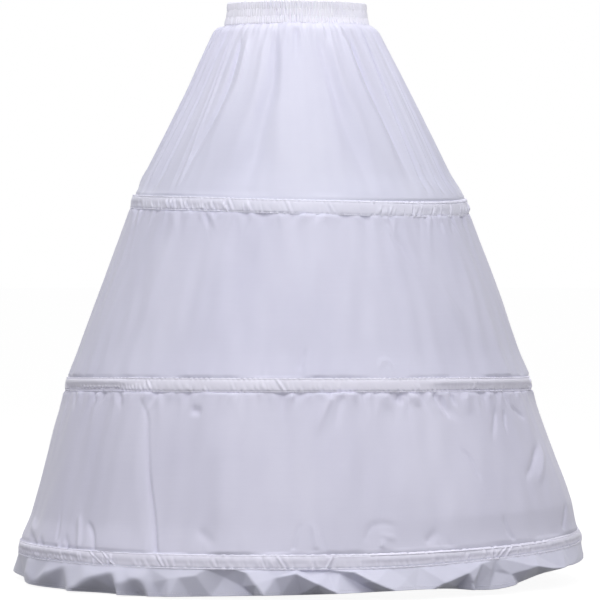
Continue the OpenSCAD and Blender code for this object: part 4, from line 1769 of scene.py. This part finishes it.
    def hem_rise(self, degrees: Array, stand: Array, radius: float) -> Array:
        """Gives how high the hem rises, so that it hangs in one smooth line as its folds swing.

        Args:
            degrees: Degrees from the front of each column.
            stand: How far the hem stands out in each column.
            radius: Radius of the hem without its folds.

        Returns:
            The rise of each column.
        """
        across = np.clip((1 + stand / radius) * np.sin(np.radians(degrees)), -1, 1)
        near = eased((82 - np.abs(degrees)) / 14)
        seen = degrees + near * (np.degrees(np.arcsin(across)) - degrees)
        rise = self.hem_lift * np.sin(np.radians(seen)) ** 2
        for at, wide, low in self.DIPS:
            rise = rise - low * MM * np.exp(-((seen - at) / wide) ** 2)
        return rise + self.swing * stand * np.abs(np.cos(np.radians(degrees)))

    @staticmethod
    def softened(stand: Array, rounds: int) -> Array:
        """Rounds the edges of the facets.

        Args:
            stand: How far the cloth stands out at each row and column.
            rounds: How many times each point is drawn towards its neighbours.

        Returns:
            How far it stands out then.
        """
        for _ in range(rounds):
            stand = (np.roll(stand, 1, 1) + 2 * stand + np.roll(stand, -1, 1)) / 4
            stand[1:-1] = (stand[:-2] + 2 * stand[1:-1] + stand[2:]) / 4
        return stand


@dataclass
class Hardware:
    """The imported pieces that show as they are: the elastic, the hoops and their joiners."""

    hoops: tuple[str, ...] = ("top_hoop", "middle_hoop", "bottom_hoop")
    joiners: tuple[str, ...] = ("top_hoop_joiner", "middle_hoop_joiner", "bottom_hoop_joiner")
    elastic: str = "waist_elastic"

    def dress(self) -> None:
        """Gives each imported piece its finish."""
        finishes = {RibbedElastic().material(): (self.elastic,), CoatedStrip().material(): self.hoops,
                    CrimpedSteel().material(): self.joiners}
        for material, nodes in finishes.items():
            for node in nodes:
                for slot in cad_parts[node].material_slots:
                    slot.material = material
                LOG.info("%s: %s", node, material.name)


@dataclass
class Studio:
    """The pale floor, the soft light and the camera.

    Attributes:
        scale: Metres to a pixel of the 600 pixel frame, at the skirt's axis.
        distance: Distance from the camera to the axis.
        eye: Height of the camera.
        middle: Point of the axis plane at the middle of the frame, as x and z.
    """

    scale: float = 1.76 * MM
    frame_px: int = 600
    distance: float = 7.92
    eye: float = -0.377
    middle: Pair = (0.0035, -0.5002)
    sensor: float = 36.0
    key: float = 47.0
    top: float = 54.0
    side: float = 32.0
    back: float = 30.0
    sky: float = 0.30
    floor_light: float = 0.935

    def build(self) -> None:
        """Makes the whole studio."""
        self.camera()
        self.floor()
        self.world()
        self.lamp("key_light", (0.1, -3.7, 1.2), 2.2, self.key)
        self.lamp("top_light", (0.0, -0.9, 2.9), 2.4, self.top)
        self.lamp("left_light", (-3.2, -1.6, 1.3), 2.2, self.side)
        self.lamp("right_light", (3.2, -1.6, 1.3), 2.2, self.side)
        self.lamp("back_light", (0.0, 3.9, 1.2), 2.2, self.back)
        bpy.context.scene.view_settings.view_transform = "Standard"

    def camera(self) -> None:
        """Sets the camera at the viewing angle of the photograph."""
        data = bpy.data.cameras.new("camera")
        data.sensor_width = self.sensor
        data.lens = self.sensor * self.distance / (self.frame_px * self.scale)
        data.clip_end = 60
        camera = bpy.data.objects.new("camera", data)
        camera.location = (self.middle[0], -self.distance, self.eye)
        aim = Vector((self.middle[0], 0, self.middle[1])) - camera.location
        camera.rotation_euler = aim.to_track_quat("-Z", "Y").to_euler()
        bpy.context.collection.objects.link(camera)
        bpy.context.scene.camera = camera

    def floor(self) -> None:
        """Lays a wide pale floor just under the hem."""
        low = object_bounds()[0][2] - 2 * MM
        side = 40.0
        mesh = bpy.data.meshes.new("floor")
        mesh.from_pydata([(-side, -side, low), (side, -side, low), (side, side, low), (-side, side, low)], [],
                         [(0, 1, 2, 3)])
        floor = bpy.data.objects.new("floor", mesh)
        bpy.context.collection.objects.link(floor)
        bench = NodeBench("pale_floor")
        path = bench.add("LightPath")
        lit = bench.add("BsdfDiffuse", Color=(0.19, 0.19, 0.19, 1))
        pale = bench.add("Emission", Color=(1, 1, 1, 1))
        seen = bench.math("MAXIMUM", path.outputs["Is Camera Ray"], path.outputs["Is Glossy Ray"])
        seen = bench.math("MAXIMUM", seen, path.outputs["Is Transmission Ray"])
        bench.link(bench.math("MULTIPLY", seen, self.floor_light), pale.inputs["Strength"])
        both = bench.add("AddShader")
        bench.link(lit.outputs[0], both.inputs[0])
        bench.link(pale.outputs[0], both.inputs[1])
        mesh.materials.append(bench.finish(both))
        floor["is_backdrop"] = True

    def world(self) -> None:
        """Makes an even sky that the camera sees as white."""
        world = bpy.data.worlds.new("studio")
        bpy.context.scene.world = world
        world.use_nodes = True
        tree = world.node_tree
        tree.nodes.clear()
        path = tree.nodes.new("ShaderNodeLightPath")
        seen = tree.nodes.new("ShaderNodeMath")
        seen.operation = "MAXIMUM"
        through = tree.nodes.new("ShaderNodeMath")
        through.operation = "MAXIMUM"
        tree.links.new(path.outputs["Is Camera Ray"], seen.inputs[0])
        tree.links.new(path.outputs["Is Glossy Ray"], seen.inputs[1])
        tree.links.new(seen.outputs[0], through.inputs[0])
        tree.links.new(path.outputs["Is Transmission Ray"], through.inputs[1])
        sky = tree.nodes.new("ShaderNodeBackground")
        sky.inputs["Color"].default_value = (1, 1, 1, 1)
        sky.inputs["Strength"].default_value = self.sky
        white = tree.nodes.new("ShaderNodeBackground")
        white.inputs["Color"].default_value = (1, 1, 1, 1)
        white.inputs["Strength"].default_value = 1.0
        mix = tree.nodes.new("ShaderNodeMixShader")
        output = tree.nodes.new("ShaderNodeOutputWorld")
        tree.links.new(through.outputs[0], mix.inputs["Fac"])
        tree.links.new(sky.outputs[0], mix.inputs[1])
        tree.links.new(white.outputs[0], mix.inputs[2])
        tree.links.new(mix.outputs[0], output.inputs["Surface"])

    def lamp(self, name: str, place: tuple[float, float, float], size: float, power: float) -> None:
        """Hangs one soft lamp that shines at the middle of the skirt.

        Args:
            name: The lamp's name.
            place: Where it hangs.
            size: Side of its square face, in metres.
            power: Its power, in watts.
        """
        data = bpy.data.lights.new(name, "AREA")
        data.size = size
        data.energy = power
        lamp = bpy.data.objects.new(name, data)
        lamp.location = place
        aim = Vector((0, 0, self.middle[1])) - lamp.location
        lamp.rotation_euler = aim.to_track_quat("-Z", "Y").to_euler()
        bpy.context.collection.objects.link(lamp)


def main() -> None:
    """Builds every piece in order."""
    logging.basicConfig(level=logging.INFO, format="%(name)s %(message)s")
    cloths = Wardrobe.made()
    waist = Ring.waist(123 * MM)
    sits = (
        (6.0 * MM, 2.0 * MM, 3.6 * MM, ((-85, 40, 2.6), (-35, 24, 1.6), (48, 30, -2.8), (95, 20, 1.5))),
        (0.6 * MM, 1.8 * MM, 2.4 * MM, ((-85, 30, -2.2), (75, 30, -1.4))),
        (6.5 * MM, 1.0 * MM, 3.8 * MM, ((-72, 42, 5.4), (22, 24, -4.6), (52, 14, -1.4), (95, 16, 2.4)),
         ((50, 22, 0.26), (92, 26, 0.36))),
    )
    top, middle, bottom = (Ring.of_hoop(node, *sit) for node, sit in zip(Hardware().hoops, sits))
    Hardware().dress()
    Waistband().build(waist, cloths, np.random.default_rng(11))
    UpperTier().build(waist, top, cloths, np.random.default_rng(23))
    PlainTier("middle_tier_cloth", "middle_tier", rests_on="middle_hoop", folds=MIDDLE_FOLDS, pucker=1.8,
              flat=(2.6, 0.34), flat_area=0.74).build(top, middle, cloths.tier, np.random.default_rng(37))
    PlainTier("lower_tier_cloth", "lower_tier", rests_on="bottom_hoop", folds=LOWER_FOLDS, swell=2.2 * MM,
              pucker=3.0, crumples=22, drift=12 * MM, drift_at=0.8, slack=6 * MM, pulls=56,
              flat=(3.1, 0.31), flat_area=0.80).build(middle, bottom, cloths.lower, np.random.default_rng(41))
    HoopCasing("top_casing_cloth", "top_casing", columns=1300, hoop="top_hoop", flat=(1.95, 0.032),
               ruching=(Ruching((-84, -54), (0.25, 1.0), 1.8, 11, 8, 0.8),
                        Ruching((-60, -10), (0.3, 1.0), 2.8, 9),
                        Ruching((24, 60), (0.35, 1.0), 1.8, 8, -9),
                        Ruching((62, 92), (0.1, 1.0), 1.8, 8, -8),
                        Ruching((100, 172), (0.2, 0.95), 1.4, 9),
                        Ruching((-172, -100), (0.2, 0.95), 1.4, 9, -8)),
               pleats=((-4, -2, 1.4, 2.2), (10, 12, 1.4, 2.2), (-24, -22, 1.8, 2.2), (63, 62, 2.0, 2.2)),
               roll=1.2 * MM, sag=1.5 * MM,
               droops=((-86, -62, 2.2), (-64, -20, 0.8), (36, 66, 0.8))
               ).build(top, cloths.top_casing, cloths.thread, np.random.default_rng(43))
    HoopCasing("middle_casing_cloth", "middle_casing", columns=1700, hoop="middle_hoop", flat=(2.7, 0.032),
               ruching=(Ruching((-84, -54), (0.5, 0.95), 3.5, 13, 3, 0.12),
                        Ruching((-58, -36), (0.5, 0.95), 2.6, 9, 4, 0.15),
                        Ruching((-36, 40), (0.45, 1.0), 0.8, 11),
                        Ruching((42, 80), (0.45, 1.0), 1.4, 14, -8),
                        Ruching((70, 86), (0.3, 1.0), 2.2, 8, 6),
                        Ruching((100, 174), (0.3, 1.0), 1.5, 9),
                        Ruching((-174, -100), (0.3, 1.0), 1.5, 9, -8)),
               pleats=((-5.2, -3.0, 1.8, 2.2), (-39, -37, 2.2, 2.2), (82, 80, 2.4, 2.4)),
               roll=1.6 * MM, sag=2.0 * MM,
               droops=((-86, -42, 4.6), (30, 86, 2.8))
               ).build(middle, cloths.middle_casing, cloths.thread, np.random.default_rng(47))
    HoopCasing("bottom_casing_cloth", "bottom_casing", columns=1900, hoop="bottom_hoop", flat=(3.2, 0.032),
               ruching=(Ruching((-84, -50), (0.4, 0.95), 3.4, 12, 8, 0.4),
                        Ruching((-84, -54), (0.15, 1.0), 1.2, 11),
                        Ruching((-56, -38), (0.2, 1.0), 2.4, 9),
                        Ruching((-38, 6), (0.35, 1.0), 1.3, 13), Ruching((8, 34), (0.4, 1.0), 0.8, 15, -8),
                        Ruching((32, 50), (0.3, 1.0), 2.0, 10, -8),
                        Ruching((48, 94), (0.35, 1.0), 1.5, 18, -8),
                        Ruching((100, 174), (0.2, 1.0), 1.5, 10),
                        Ruching((-174, -100), (0.2, 1.0), 1.5, 10, -8)),
               pleats=((-46.2, -41.6, 3.4, 1.8), (-42.4, -38.4, 3.2, 1.8), (-28.8, -27.0, 2.6, 2.0),
                       (-4.2, -2.4, 2.6, 2.0), (6.9, 5.5, 3.0, 2.0), (45.6, 42.6, 3.0, 2.0),
                       (47.2, 44.6, 3.2, 2.0),
                       (150, 152, 2.4, 2.2), (-140, -138, 2.4, 2.2)),
               roll=1.2 * MM, sag=1.0 * MM,
               droops=((-86, -44, 6.0), (-50, 12, 0.8), (8, 86, 1.7))
               ).build(bottom, cloths.bottom_casing, cloths.thread, np.random.default_rng(53))
    HemFlounce().build(bottom, cloths, np.random.default_rng(59))
    Studio().build()
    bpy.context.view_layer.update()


if __name__ == "__main__":
    main()
